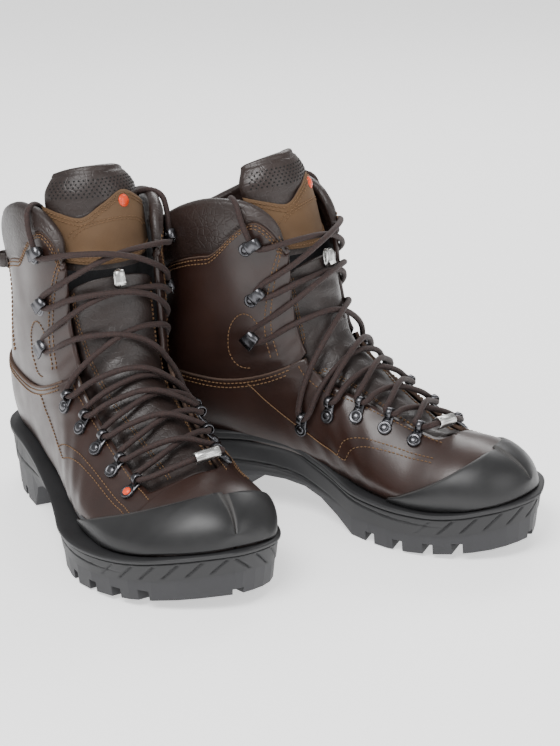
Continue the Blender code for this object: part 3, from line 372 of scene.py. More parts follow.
def row_place(side, row):
    """Lace loops: rows up the facing, a fixed distance outside its edge."""
    y = 230.0 - 20.5 * row - (1.0 if side > 0 else -0.5)
    outside = 8.0
    u = 6.0
    for u in np.arange(5.0, 11.5, 0.01):
        a = find_a(u, side, lambda p: side * (throat_x(p[:, 1], side) + side * outside - p[:, 0]), 0.03)
        if upper(u, a, side)[1] <= y:
            break
    return float(u), float(a)

HOOK_SPOTS = {"lock_hook": (107.0, 116.5), "speed_hook_1": (114.0, 149.0), "speed_hook_2": (112.5, 184.0)}


def fitting_matrix(u, a, side, out):
    """Frame of a fitting on the upper, X running in towards the shin line."""
    origin = upper_at(u, a, side, out)
    inward = upper_at(u, min(a + 0.05, 1.0), side, out) - origin
    return frame_of(origin, inward, upper_normal(u, a, side))



def loop_matrix(side, row):
    u, a = row_place(side, row)
    return fitting_matrix(u, a, side, 1.1)



def hook_matrix(side, which):
    y, z = HOOK_SPOTS[which]
    u, a = locate(y, z)
    inset = {"lock_hook": CUFF_INSET, "speed_hook_1": 2.4, "speed_hook_2": 1.0}[which]
    return fitting_matrix(u, a, side, 1.0 - inset)



def local(matrix, x, y, z):
    return np.array(matrix @ Vector((x, y, z)))



def up_sign(side):
    """Whether a fitting's Y points up the boot (outer side) or down it (inner side)."""
    return 1.0 if side > 0 else -1.0



def over_tongue(start, end, over):
    """Three points from one fitting to the one across, hugging the instep between them."""
    (u0, a0, side0), (u1, a1, side1) = start, end
    v0 = side0 * (1.0 - a0)
    v1 = side1 * (1.0 - a1)
    points = []
    for f, out in ((0.22, 4.6), (0.5, 7.4 if over else 2.8), (0.78, 4.6)):
        v = v0 + (v1 - v0) * f
        u = u0 + (u1 - u0) * f
        points.append(upper_at(u, 1.0 - abs(v), 1.0 if v >= 0 else -1.0, out))
    return points



def station(side, level):
    """Matrix and lace channel place of a lacing level: 0-4 loops, 5 lock, 6-7 hooks."""
    if level < LOOP_ROWS:
        matrix = loop_matrix(side, level)
        channel = (TUNNEL_X, TUNNEL_Z, 4.3)
    else:
        which = ("lock_hook", "speed_hook_1", "speed_hook_2")[level - LOOP_ROWS]
        matrix = hook_matrix(side, which)
        channel = (HOOK_X, 3.65, 6.0 if level == LOOP_ROWS else 5.0)
    return matrix, channel



def surface_place(side, level):
    if level < LOOP_ROWS:
        return row_place(side, level)
    y, z = HOOK_SPOTS[("lock_hook", "speed_hook_1", "speed_hook_2")[level - LOOP_ROWS]]
    return locate(y + 8.0, z + 1.0)



@lru_cache(maxsize=None)
def lace_points():
    """The whole lace: outer tail, down the boot, across the lowest loops, and up again."""
    points = []

    def tail(side, rising):
        matrix, (x, z, reach) = station(side, 7)
        exit_point = local(matrix, x, up_sign(side) * (reach + 1.0), z)
        over = np.array([side * 46.5 - 3.0, 108.0, 214.8])
        inside = [np.array([side * 37.0 - 3.0, 97.0, 216.2]), np.array([side * 27.0 - 3.0, 90.0, 206.0]), np.array([side * 22.0 - 3.0, 84.0, 176.0])]
        run = [exit_point, 0.5 * (exit_point + over) + np.array([side * 1.5, 0, 0]), over] + inside
        return run if rising else run[::-1]

    def through(side, level, rising):
        matrix, (x, z, reach) = station(side, level)
        s = up_sign(side) * (1.0 if rising else -1.0)
        return [local(matrix, x, -s * reach, z), local(matrix, x, s * reach, z)]

    points += tail(1.0, False)[:-1]
    points += through(1.0, 7, False)
    side = 1.0
    for level in range(6, -1, -1):
        upper_side, side = side, -side
        u0, a0 = surface_place(upper_side, level + 1)
        u1, a1 = surface_place(side, level)
        points += over_tongue((u0, a0, upper_side), (u1, a1, side), level % 2 == 0)
        points += through(side, level, False)
    # lowest row, straight across
    start = points[-1]
    end = through(-side, 0, True)[0]
    bar = bar_points()
    points += bar if np.linalg.norm(bar[0] - start) < np.linalg.norm(bar[-1] - start) else bar[::-1]
    del end
    side = -side
    points += through(side, 0, True)
    for level in range(1, 8):
        lower_side, side = side, -side
        u0, a0 = surface_place(lower_side, level - 1)
        u1, a1 = surface_place(side, level)
        points += over_tongue((u0, a0, lower_side), (u1, a1, side), level % 2 == 0)
        points += through(side, level, True)
    points += tail(side, True)[1:]
    return points



def bar_points():
    """The lowest run of lace, straight where the tag sits."""
    middle = upper_at(5.35, 1.0, 1.0, 6.2)
    across = np.array([1.0, 0.05, -0.16])
    across = across / np.linalg.norm(across)
    return [middle + across * 14.0, middle + across * 2.0, middle - across * 15.0]



def tag_frame():
    points = bar_points()
    along = points[0] - points[-1]
    centre = 0.5 * (points[0] + points[-1]) - along / np.linalg.norm(along) * 2.0
    return frame_of(centre, along, (0.0, 0.75, 0.66))



def heel_pull_matrix():
    u, a = locate(42.0, 166.0)
    origin = upper_at(u, a, 1.0, -0.4)
    normal = upper_normal(u, a, 1.0)
    ahead = np.cross(np.array([0.0, 0.0, 1.0]), normal)
    return frame_of(origin, ahead, normal)



def tongue_hook_matrix():
    origin = upper_at(12.85, 1.0, 1.0, -2.6)
    return frame_of(origin, (0.0, 0.0, -1.0), upper_normal(12.85, 1.0, 1.0))


# ------------------------------------------------------------------ where each boot stands

class Stand:
    """A boot's place in the row frame, read from its ankle joint."""

    def __init__(self, label):
        self.label = label
        joint = [j for j in frame["joints"] if j["name"] == label + "_ankle_flex"][0]
        self.mirror = label == "left"
        axis = Vector(joint["axis"])
        self.forward = np.array([axis.y, -axis.x, 0.0])
        out = np.array([axis.x, axis.y, 0.0])
        self.out = out if self.mirror else -out
        self.ankle = np.array(joint["pos_m"])
        y, z = ANKLE_AXIS
        self.heel = self.ankle - self.forward * y * MM - np.array([0.0, 0.0, z * MM])

    def world(self, points):
        p = np.asarray(points, float) * MM
        up = np.array([0.0, 0.0, 1.0])
        return self.heel + p[..., 0:1] * self.out + p[..., 1:2] * self.forward + p[..., 2:3] * up

    def body(self, part):
        return self.label + "_" + part


STANDS = [Stand("right"), Stand("left")]


# ------------------------------------------------------------------ materials

def node_material(name, rough, metal=0.0, coat=0.0):
    mat = bpy.data.materials.new(name)
    mat.use_nodes = True
    nt = mat.node_tree
    shader = nt.nodes["Principled BSDF"]
    shader.inputs["Roughness"].default_value = rough
    shader.inputs["Metallic"].default_value = metal
    shader.inputs["Coat Weight"].default_value = coat
    shader.inputs["Coat Roughness"].default_value = 0.35
    return mat, nt, shader


def noise(nt, scale, detail=4.0, rough=0.55, kind="ShaderNodeTexNoise"):
    coord = nt.nodes.new("ShaderNodeTexCoord")
    tex = nt.nodes.new(kind)
    tex.inputs["Scale"].default_value = scale
    if kind == "ShaderNodeTexNoise":
        tex.inputs["Detail"].default_value = detail
        tex.inputs["Roughness"].default_value = rough
    nt.links.new(coord.outputs["Object"], tex.inputs["Vector"])
    return tex


def ramp(nt, source, stops):
    node = nt.nodes.new("ShaderNodeValToRGB")
    elements = node.color_ramp.elements
    while len(elements) < len(stops):
        elements.new(0.5)
    for e, (at, color) in zip(elements, stops):
        e.position = at
        e.color = (*color, 1.0)
    nt.links.new(source, node.inputs["Fac"])
    return node


def bump(nt, shader, layers):
    """Several height fields on one surface: (output, strength, distance in mm)."""
    last = None
    for source, strength, distance in layers:
        node = nt.nodes.new("ShaderNodeBump")
        node.inputs["Strength"].default_value = strength
        node.inputs["Distance"].default_value = distance * MM
        nt.links.new(source, node.inputs["Height"])
        if last:
            nt.links.new(last.outputs["Normal"], node.inputs["Normal"])
        last = node
    nt.links.new(last.outputs["Normal"], shader.inputs["Normal"])


def leather(name, dark, light, rough, grain, grain_depth, crease=0.25, coat=0.12):
    mat, nt, shader = node_material(name, rough, 0.0, coat)
    broad = noise(nt, 14.0, 5.0, 0.6)
    color = ramp(nt, broad.outputs["Fac"], [(0.25, dark), (0.55, light), (0.8, dark)])
    nt.links.new(color.outputs["Color"], shader.inputs["Base Color"])
    shine = noise(nt, 38.0, 4.0)
    gloss = ramp(nt, shine.outputs["Fac"], [(0.3, (rough - 0.08,) * 3), (0.75, (rough + 0.12,) * 3)])
    nt.links.new(gloss.outputs["Color"], shader.inputs["Roughness"])
    cell = noise(nt, grain, kind="ShaderNodeTexVoronoi")
    cell.feature = "DISTANCE_TO_EDGE"
    pore = noise(nt, 900.0, 3.0)
    fold = noise(nt, 55.0, 3.0)
    edge = ramp(nt, cell.outputs["Distance"], [(0.0, (0, 0, 0)), (0.12, (1, 1, 1))])
    bump(nt, shader, [(fold.outputs["Fac"], crease, 0.8), (edge.outputs["Color"], 0.5, grain_depth), (pore.outputs["Fac"], 0.25, 0.08)])
    return mat


def rubber(name, color, rough, speck=0.35):
    mat, nt, shader = node_material(name, rough)
    fine = noise(nt, 420.0, 5.0, 0.65)
    dust = noise(nt, 22.0, 6.0, 0.7)
    tint = ramp(nt, dust.outputs["Fac"], [(0.3, color), (0.72, tuple(c * 1.5 + 0.004 for c in color))])
    nt.links.new(tint.outputs["Color"], shader.inputs["Base Color"])
    gloss = ramp(nt, dust.outputs["Fac"], [(0.3, (rough - 0.06,) * 3), (0.8, (rough + 0.12,) * 3)])
    nt.links.new(gloss.outputs["Color"], shader.inputs["Roughness"])
    bump(nt, shader, [(fine.outputs["Fac"], speck, 0.12)])
    return mat


def metal(name, color, rough):
    mat, nt, shader = node_material(name, rough, 1.0)
    wear = noise(nt, 160.0, 5.0, 0.6)
    tint = ramp(nt, wear.outputs["Fac"], [(0.3, tuple(c * 0.6 for c in color)), (0.7, color)])
    nt.links.new(tint.outputs["Color"], shader.inputs["Base Color"])
    gloss = ramp(nt, wear.outputs["Fac"], [(0.3, (rough + 0.12,) * 3), (0.7, (rough - 0.05,) * 3)])
    nt.links.new(gloss.outputs["Color"], shader.inputs["Roughness"])
    bump(nt, shader, [(wear.outputs["Fac"], 0.15, 0.05)])
    return mat


def woven(name, dark, light, scale, depth):
    """Knitted or braided yarn along the piece's own UV lines."""
    mat, nt, shader = node_material(name, 0.75)
    shader.inputs["Sheen Weight"].default_value = 0.06
    coord = nt.nodes.new("ShaderNodeTexCoord")
    weave = nt.nodes.new("ShaderNodeTexBrick")
    weave.offset = 0.5
    weave.inputs["Scale"].default_value = scale
    weave.inputs["Mortar Size"].default_value = 0.04
    weave.inputs["Mortar Smooth"].default_value = 0.8
    weave.inputs["Brick Width"].default_value = 0.5
    weave.inputs["Row Height"].default_value = 0.25
    weave.inputs["Color1"].default_value = (*light, 1.0)
    weave.inputs["Color2"].default_value = (*dark, 1.0)
    weave.inputs["Mortar"].default_value = (*(c * 0.3 for c in dark), 1.0)
    nt.links.new(coord.outputs["UV"], weave.inputs["Vector"])
    nt.links.new(weave.outputs["Color"], shader.inputs["Base Color"])
    fluff = noise(nt, 700.0, 3.0)
    bump(nt, shader, [(weave.outputs["Fac"], -0.6, depth), (fluff.outputs["Fac"], 0.4, 0.15)])
    return mat


MATERIALS = {
    "leather": leather("oiled_leather", (0.0135, 0.0068, 0.0055), (0.027, 0.0115, 0.0082), 0.36, 520.0, 0.03, 0.10, 0.15),
    "napa": leather("napa_leather", (0.0125, 0.0078, 0.0066), (0.022, 0.0122, 0.0098), 0.42, 210.0, 0.22, 0.35, 0.08),
    "gusset": leather("gusset_leather", (0.011, 0.0072, 0.0064), (0.020, 0.0116, 0.0096), 0.44, 260.0, 0.16, 0.45, 0.08),
    "edge": leather("cut_edge", (0.045, 0.026, 0.018), (0.085, 0.05, 0.034), 0.8, 400.0, 0.1, 0.2, 0.0),
    "nubuck": leather("tan_nubuck", (0.072, 0.038, 0.017), (0.118, 0.066, 0.030), 0.85, 480.0, 0.05, 0.3, 0.0),
    "thread": rubber("stitch_thread", (0.115, 0.06, 0.024), 0.65, 0.6),
    "rand": rubber("rand_rubber", (0.0085, 0.0085, 0.009), 0.42, 0.18),
    "rand_edge": rubber("rand_edge_rubber", (0.035, 0.033, 0.032), 0.6, 0.3),
    "midsole": rubber("midsole_rubber", (0.0125, 0.0125, 0.0135), 0.56, 0.4),
    "tread": rubber("tread_rubber", (0.019, 0.019, 0.021), 0.6, 0.45),
    "steel": metal("gun_metal", (0.13, 0.13, 0.14), 0.24),
    "silver": metal("silver_plate", (0.78, 0.78, 0.76), 0.26),
    "orange": rubber("orange_enamel", (0.62, 0.055, 0.012), 0.30, 0.1),
    # near-black discs standing in for the perforation holes: the colour is painted shade, the dark inside of each hole
    "hole": rubber("perforation", (0.003, 0.003, 0.003), 0.9, 0.1),
    "lace": woven("braided_lace", (0.016, 0.0062, 0.005), (0.038, 0.0145, 0.011), 1.0, 0.35),
    "lining": woven("textile_lining", (0.022, 0.022, 0.024), (0.045, 0.045, 0.05), 90.0, 0.2),
    "footbed": woven("footbed_cover", (0.03, 0.03, 0.033), (0.055, 0.055, 0.06), 120.0, 0.2),
}


# ------------------------------------------------------------------ mesh helpers

def thing(name, points, faces, mats, face_mats=None, uv=None, merge=0.0, smooth=True):
    """A mesh object in the row frame from points in metres."""
    mesh = bpy.data.meshes.new(name)
    points = np.asarray(points, float).reshape(-1, 3)
    mesh.from_pydata(points.tolist(), [], [list(map(int, f)) for f in faces])
    for m in mats:
        mesh.materials.append(MATERIALS[m])
    if face_mats is not None:
        mesh.polygons.foreach_set("material_index", np.asarray(face_mats, np.int32))
    if uv is not None:
        layer = mesh.uv_layers.new(name="UVMap")
        index = np.zeros(len(mesh.loops), np.int32)
        mesh.loops.foreach_get("vertex_index", index)
        layer.data.foreach_set("uv", np.asarray(uv, np.float32).reshape(-1, 2)[index].ravel())
    if merge:
        bm = bmesh.new()
        bm.from_mesh(mesh)
        bmesh.ops.remove_doubles(bm, verts=bm.verts, dist=merge)
        bmesh.ops.dissolve_degenerate(bm, edges=bm.edges, dist=merge)
        bmesh.ops.recalc_face_normals(bm, faces=bm.faces)
        bm.to_mesh(mesh)
        bm.free()
    if smooth:
        mesh.polygons.foreach_set("use_smooth", np.ones(len(mesh.polygons), bool))
    obj = bpy.data.objects.new(name, mesh)
    bpy.context.scene.collection.objects.link(obj)
    return obj


def face_up(obj, centre):
    """Turns a sheet's faces to look away from a point inside the boot."""
    mesh = obj.data
    mesh.update()
    away = sum((p.center - Vector(centre)).dot(p.normal) * p.area for p in mesh.polygons)
    if away < 0:
        mesh.flip_normals()
        mesh.update()


def thicken(obj, thick, rim_slot=0, inward=True):
    mod = obj.modifiers.new("thickness", "SOLIDIFY")
    mod.thickness = thick * MM
    mod.offset = -1.0 if inward else 1.0
    mod.material_offset_rim = rim_slot
    mod.use_even_offset = False
    return mod


def round_edges(obj, width, segments=2, angle=35.0):
    mod = obj.modifiers.new("rounding", "BEVEL")
    mod.width = width * MM
    mod.segments = segments
    mod.limit_method = "ANGLE"
    mod.angle_limit = math.radians(angle)
    mod.harden_normals = False
    return mod


def resample(points, step):
    points = np.asarray(points, float)
    lengths = np.linalg.norm(np.diff(points, axis=0), axis=1)
    along = np.concatenate([[0.0], np.cumsum(lengths)])
    count = max(int(along[-1] / step), 2)
    at = np.linspace(0.0, along[-1], count + 1)
    return np.stack([np.interp(at, along, points[:, k]) for k in range(3)], 1)


def rounded(points, passes=2):
    """Corner cutting, so that a cord turns as a bend and not as a kink."""
    p = np.asarray(points, float)
    for _ in range(passes):
        a = 0.75 * p[:-1] + 0.25 * p[1:]
        b = 0.25 * p[:-1] + 0.75 * p[1:]
        q = np.empty((2 * len(a), 3))
        q[0::2], q[1::2] = a, b
        p = np.concatenate([p[:1], q, p[-1:]])
    return p


def tube_data(path, radius, sides=10, twist=0.0, ridge=0.0):
    """Points, faces and UVs of a tube along a path in mm; ridge raises the strands of a braid."""
    path = np.asarray(path, float)
    n = len(path)
    tangent = np.gradient(path, axis=0)
    tangent /= np.linalg.norm(tangent, axis=1, keepdims=True) + 1e-12
    normal = np.cross(tangent[0], (0.3, 0.2, 0.93))
    rows = []
    length = np.concatenate([[0.0], np.cumsum(np.linalg.norm(np.diff(path, axis=0), axis=1))])
    angles = np.linspace(0.0, 2 * math.pi, sides, endpoint=False)
    for i in range(n):
        normal = normal - tangent[i] * normal.dot(tangent[i])
        normal /= np.linalg.norm(normal)
        across = np.cross(tangent[i], normal)
        turn = twist * length[i]
        wave = np.maximum(np.cos(4 * angles + turn), np.cos(4 * angles - turn)) if ridge else 0.0
        r = radius + ridge * wave
        rows.append(path[i] + (np.cos(angles) * r)[:, None] * normal + (np.sin(angles) * r)[:, None] * across)
    points = np.concatenate(rows)
    faces = []
    for i in range(n - 1):
        for j in range(sides):
            k = (j + 1) % sides
            faces.append((i * sides + j, i * sides + k, (i + 1) * sides + k, (i + 1) * sides + j))
    faces.append(tuple(range(sides))[::-1])
    faces.append(tuple((n - 1) * sides + j for j in range(sides)))
    uv = np.stack([np.tile(angles / (2 * math.pi) * 4.0, n), np.repeat(length / 1.6, sides)], 1)
    return points, faces, uv


class Heap:
    """Many small shapes of one piece, gathered into one mesh."""

    def __init__(self):
        self.points, self.faces, self.mats, self.count = [], [], [], 0

    def add(self, points, faces, mat=0):
        points = np.asarray(points, float).reshape(-1, 3)
        self.points.append(points)
        self.faces.extend(tuple(k + self.count for k in f) for f in faces)
        self.mats.extend([mat] * len(faces))
        self.count += len(points)

    def make(self, name, stand, mats):
        return thing(name, stand.world(np.concatenate(self.points)), self.faces, mats, self.mats)


BEAD_FACES = [(i, (i + 1) % 6, 6 + (i + 1) % 6, 6 + i) for i in range(6)]
BEAD_FACES += [(6 + i, 6 + (i + 1) % 6, 12 + (i + 1) % 6, 12 + i) for i in range(6)]
BEAD_FACES += [(12 + i, 12 + (i + 1) % 6, 18 + (i + 1) % 6, 18 + i) for i in range(6)]
BEAD_FACES += [tuple(range(6))[::-1], tuple(range(18, 24))]


def stitch_row(heap, line, pitch=3.1, length=2.3, thick=0.42, mat=0):
    """Thread stitches along a line of (point, normal) in mm."""
    points = np.array([p for p, _ in line])
    normals = np.array([n for _, n in line])
    lengths = np.concatenate([[0.0], np.cumsum(np.linalg.norm(np.diff(points, axis=0), axis=1))])
    count = int(lengths[-1] / pitch)
    ring = np.array([(math.cos(w), math.sin(w)) for w in np.linspace(0, 2 * math.pi, 6, endpoint=False)])
    for i in range(count):
        middle = (i + 0.5) * pitch
        ends = [np.array([np.interp(v, lengths, points[:, k]) for k in range(3)]) for v in (middle - length / 2, middle + length / 2)]
        n = np.array([np.interp(middle, lengths, normals[:, k]) for k in range(3)])
        n /= np.linalg.norm(n) + 1e-9
        t = ends[1] - ends[0]
        size = np.linalg.norm(t)
        if size < 0.5:
            continue
        t /= size
        b = np.cross(n, t)
        body = []
        for f, r, sink in ((0.0, 0.35, -0.25), (0.2, 1.0, 0.0), (0.8, 1.0, 0.0), (1.0, 0.35, -0.25)):
            c = ends[0] + (ends[1] - ends[0]) * f + n * (sink + thick * 0.35)
            body.extend(c + (b * x + n * y) * thick * r for x, y in ring)
        heap.add(body, BEAD_FACES, mat)


def lathe(heap, m, profile, mat=0, sides=28):
    """A turned shape: (radius, height) pairs about the frame's Z."""
    angles = np.linspace(0, 2 * math.pi, sides, endpoint=False)
    points = []
    for r, z in profile:
        points.extend((r * math.cos(w), r * math.sin(w), z) for w in angles)
    faces = []
    for i in range(len(profile) - 1):
        for j in range(sides):
            k = (j + 1) % sides
            faces.append((i * sides + j, i * sides + k, (i + 1) * sides + k, (i + 1) * sides + j))
    faces.append(tuple((len(profile) - 1) * sides + j for j in range(sides)))
    heap.add(carry(m, points), faces, mat)


def carry(m, points):
    a = np.array(m)
    return np.asarray(points, float) @ a[:3, :3].T + a[:3, 3]


def slab(heap, m, outline, low, high, mat=0, edge=0.35):
    """A flat plate with softened upper and lower edges."""
    outline = np.asarray(outline, float)
    middle = outline.mean(0)
    spans = np.linalg.norm(outline - middle, axis=1, keepdims=True)
    inner = middle + (outline - middle) * (1.0 - edge / spans)
    n = len(outline)
    points = []
    for ring, z in ((inner, low), (outline, low + edge), (outline, high - edge), (inner, high)):
        points.extend((x, y, z) for x, y in ring)
    faces = [(i * n + j, i * n + (j + 1) % n, (i + 1) * n + (j + 1) % n, (i + 1) * n + j) for i in range(3) for j in range(n)]
    faces += [tuple(range(n))[::-1], tuple(3 * n + j for j in range(n))]
    heap.add(carry(m, points), faces, mat)


def strap(heap, m, path, width, thick, mat=0):
    """A bent metal or leather strap: path of (x, z), as wide along Y as width(f)."""
    path = np.asarray(path, float)
    tangent = np.gradient(path, axis=0)
    tangent /= np.linalg.norm(tangent, axis=1, keepdims=True)
    normal = np.stack([-tangent[:, 1], tangent[:, 0]], 1)
    points, n = [], len(path)
    e = min(0.3, thick * 0.3)
    for i in range(n):
        w = width(i / (n - 1.0)) / 2.0
        for dy, dn in ((-w + e, -thick / 2), (w - e, -thick / 2), (w, -thick / 2 + e), (w, thick / 2 - e), (w - e, thick / 2), (-w + e, thick / 2), (-w, thick / 2 - e), (-w, -thick / 2 + e)):
            points.append((path[i, 0] + normal[i, 0] * dn, dy, path[i, 1] + normal[i, 1] * dn))
    faces = [(i * 8 + j, i * 8 + (j + 1) % 8, (i + 1) * 8 + (j + 1) % 8, (i + 1) * 8 + j) for i in range(n - 1) for j in range(8)]
    faces += [tuple(range(8))[::-1], tuple((n - 1) * 8 + j for j in range(8))]
    heap.add(carry(m, points), faces, mat)


def oval(x0, x1, w0, w1, steps=8):
    """Outline of a tapered plate with round ends, from x0 (half width w0) to x1 (w1)."""
    pts = [(x1 + w1 * math.sin(t), -w1 * math.cos(t)) for t in np.linspace(0, math.pi, steps)]
    pts += [(x0 - w0 * math.sin(t), w0 * math.cos(t)) for t in np.linspace(0, math.pi, steps)]
    return pts


# ------------------------------------------------------------------ panels

def sheet_grid(rows):
    rows = np.asarray(rows, float)
    return rows.reshape(-1, 3), grid_faces(rows.shape[0], rows.shape[1])


def swell(y, z):
    """Slight unevenness of leather that has been lasted by hand."""
    return 0.22 * np.sin(y * 0.11 + z * 0.05) + 0.15 * np.sin(y * 0.05 - z * 0.13 + 1.3)


def flex_lines(p):
    """Soft creases across the instep and the ankle, in mm of depth."""
    y, z = p[..., 1], p[..., 2]
    front = np.clip((y - 128.0) / 40.0, 0.0, 1.0) * np.clip((215.0 - y) / 30.0, 0.0, 1.0)
    ankle = np.exp(-((z - 104.0) / 20.0) ** 2) * np.clip((y - 60.0) / 40.0, 0.0, 1.0)
    return 0.28 * front * np.sin(y * 0.42 + z * 0.25) + 0.35 * ankle * np.sin(z * 0.5 - y * 0.12)


FOOT_OUT = 0.5


def foot_surface(u, a, side, out=0.0):
    p = upper_at(u, a, side, FOOT_OUT + out)
    n = upper_normal(u, a, side)
    d = swell(p[..., 1], p[..., 2]) + flex_lines(p)
    return p + n * np.asarray(d)[..., None]


def dense(values, most):
    """Stations with further ones between, none further apart than most."""
    out = [values[0]]
    for a, b in zip(values, values[1:]):
        count = max(int(math.ceil((b - a) / most)), 1)
        out.extend(a + (b - a) * (k + 1) / count for k in range(count))
    return out


FOOT_U = dense(FOOT_STATIONS + [foot_end_u()], 0.11)
FOOT_EDGES = {s: [foot_edge_a(float(u), s) for u in FOOT_U[:-1]] + [-0.965] for s in (1.0, -1.0)}


def build_foot_leather(stand):
    half = 44
    f = np.linspace(0.0, 1.0, half + 1)
    rows = []
    for i, u in enumerate(FOOT_U):
        row = []
        for side in (1.0, -1.0):
            edge = FOOT_EDGES[side][i]
            a = edge + (-1.0 - edge) * f
            p = foot_surface(np.full_like(a, u), a, np.full_like(a, side))
            row.append(p if side > 0 else p[::-1][1:])
        rows.append(np.concatenate(row))
    points, faces = sheet_grid(rows)
    obj = thing(stand.label + "_foot_leather", stand.world(points), faces, ["leather", "edge"], merge=0.00002)
    face_up(obj, stand.world((0.0, 150.0, 45.0)))
    thicken(obj, 2.4, 1)
    return obj


CUFF_COLUMNS = 64
CUFF_ROWS = 56


def cuff_columns():
    """Each column of the cuff: side, share from the back to the facing, low and high (u, a)."""
    share = np.linspace(0.0, 1.0, CUFF_COLUMNS + 1)
    top = smooth_table(np.c_[np.linspace(0, 1, len(COLLAR)), COLLAR], share ** 0.9)
    found = {}
    for side in (1.0, -1.0):
        columns = []
        for i, f in enumerate(share):
            if i == 0:
                us = np.linspace(12.0, 16.0, 401)
                back = upper(us, -1.0, 1.0)
                low = (float(us[np.argmin(np.abs(back[:, 2] - seam_height(back[:, 1]) + 9.0))]), -1.0)
                high = (18.0, -1.0)
            else:
                y = 7.0 + 134.0 * (1.0 - math.cos(f * math.pi / 2.0)) ** 0.85
                low = locate(y, float(seam_height(y)) - 9.0 + 4.0 * f ** 3)
                high = locate(*top[i])
            if i == CUFF_COLUMNS:
                low = (low[0], throat_a(low[0], side))
                high = (high[0], throat_a(high[0], side))
            columns.append((low, high))
        found[side] = columns
    return found


CUFF = cuff_columns()


def ear_share(c):
    """Height share of the seam between quarter and padded collar: level behind, up like an ear in front."""
    c = np.asarray(c, float)
    rear = 0.60 + 0.05 * c
    ear = np.clip((c - 0.50) / 0.26, 0.0, 1.0)
    ear = ear * ear * (3.0 - 2.0 * ear)
    return rear + (0.93 - rear) * ear


@lru_cache(maxsize=None)
def cuff_at(side, c, r, out=0.0):
    """A point on the cuff's outer face: c from the back (0) to the facing (1), r from below (0) to the rim (1)."""
    k = min(max(c, 0.0), 1.0) * CUFF_COLUMNS
    i = min(int(k), CUFF_COLUMNS - 1)
    t = k - i
    spots = []
    for j in (i, i + 1):
        (u0, a0), (u1, a1) = CUFF[side][j]
        u = u0 + (u1 - u0) * r
        a = throat_a(u, side) if j == CUFF_COLUMNS else a0 + (a1 - a0) * r
        spots.append((u, a))
    u = spots[0][0] * (1 - t) + spots[1][0] * t
    a = spots[0][1] * (1 - t) + spots[1][1] * t
    seam = float(ear_share(c))
    above = max(r - seam, 0.0) / max(1.0 - seam, 0.05)
    d = -1.5 + 1.2 * min(r / 0.3, 1.0)
    fat = math.sin(math.pi * min(above, 1.0)) ** 0.7 if above > 0 else 0.0
    d += (2.6 * (1.0 - 0.5 * c)) * fat - 0.9 * math.exp(-((r - seam) / 0.012) ** 2)
    p = upper_at(u, a, side, d + out)
    n = upper_normal(u, a, side)
    return p + n * float(swell(p[1], p[2]) * 0.8 + flex_lines(p)), n


def build_cuff(stand):
    order = [(1.0, i) for i in range(CUFF_COLUMNS, 0, -1)] + [(-1.0, i) for i in range(CUFF_COLUMNS + 1)]
    share = np.linspace(0.0, 1.0, CUFF_ROWS + 1)
    roll = 8
    inside = np.linspace(1.0, 0.12, 26)
    columns, marks = [], []
    for side, i in order:
        c = i / CUFF_COLUMNS
        column, mark = [], []
        for r in share:
            p, n = cuff_at(side, c, r)
            column.append(p)
            mark.append(1 if r > float(ear_share(c)) + 0.004 else 0)
        p1, n1 = cuff_at(side, c, 1.0)
        p0, _ = cuff_at(side, c, 0.97)
        up = p1 - p0
        up = up - n1 * up.dot(n1)
        up /= np.linalg.norm(up) + 1e-9
        thick = 9.0 * (1.0 - 0.55 * c ** 4)
        for k in range(1, roll):
            w = math.pi * k / roll
            column.append(p1 - n1 * (thick / 2) * (1 - math.cos(w)) + up * (thick / 2) * math.sin(w))
            mark.append(1)
        for r in inside:
            p, n = cuff_at(side, c, r)
            depth = thick * (0.55 + 0.45 * min(1.0, max(0.0, (r - 0.35) / 0.3)))
            column.append(p - n * max(depth, 3.4))
            mark.append(1 if r > 0.80 else 2)
        columns.append(column)
        marks.append(mark)
    grid = np.array(columns).transpose(1, 0, 2)
    marks = np.array(marks).T
    points, faces = sheet_grid(grid)
    mats = marks[:-1, :-1].ravel()
    uv = np.stack(np.meshgrid(np.linspace(0, 3.0, grid.shape[1]), np.linspace(0, 2.0, grid.shape[0])), -1)
    obj = thing(stand.label + "_cuff", stand.world(points), faces, ["leather", "napa", "lining"], mats, uv)
    edge = cuff_edges(stand)
    return obj, edge


def cuff_edges(stand):
    """The bound front edges of the quarters, closing the cuff's thickness beside the tongue."""
    heap = Heap()
    for side in (1.0, -1.0):
        path = []
        for r in np.linspace(0.0, 1.0, 90):
            p, n = cuff_at(side, 1.0, r)
            path.append(p - n * 1.9)
        points, faces, _ = tube_data(path, 2.0, 12)
        heap.add(points, faces)
    return heap.make(stand.label + "_facing_edge", stand, ["leather"])


@lru_cache(maxsize=None)
def tongue_at(v, f, out=0.0):
    """The tongue under the lace: v across from outer (1) to inner (-1), f up from the toe end."""
    u = 5.2 + 7.75 * f
    side = 1.0 if v >= 0 else -1.0
    edge = TONGUE_EDGE(u, side)
    s = abs(v)
    a = 1.0 - (1.0 - edge) * s
    low = 3.6 + 5.4 * min(max((u - 8.7) / 1.2, 0.0), 1.0)
    rise = (1.4 * min(f * 6.0, 1.0) + 5.2 * min(max((u - 8.7) / 1.6, 0.0), 1.0)) * (1 - s * s) ** 2
    gusset = -1.3 * math.exp(-((s - 0.80) / 0.07) ** 2) + 0.9 * math.exp(-((s - 0.66) / 0.05) ** 2)
    wrinkle = 0.35 * math.sin(f * 64.0 + 2.0 * math.sin(v * 3.0)) * (1 - s) + 0.2 * math.sin(f * 29.0 + v * 4.0)
    d = -low + rise + gusset + wrinkle
    return upper_at(u, a, side, d + out), upper_normal(u, a, side)


TONGUE_U = np.linspace(5.1, 13.2, 60)
TONGUE_LIMIT = {s: [find_a(float(u), s, lambda p: s * (throat_x(p[:, 1], s) + s * 6.0 - p[:, 0]), 0.03) for u in TONGUE_U] for s in (1.0, -1.0)}


def TONGUE_EDGE(u, side):
    return float(np.interp(u, TONGUE_U, TONGUE_LIMIT[side]))


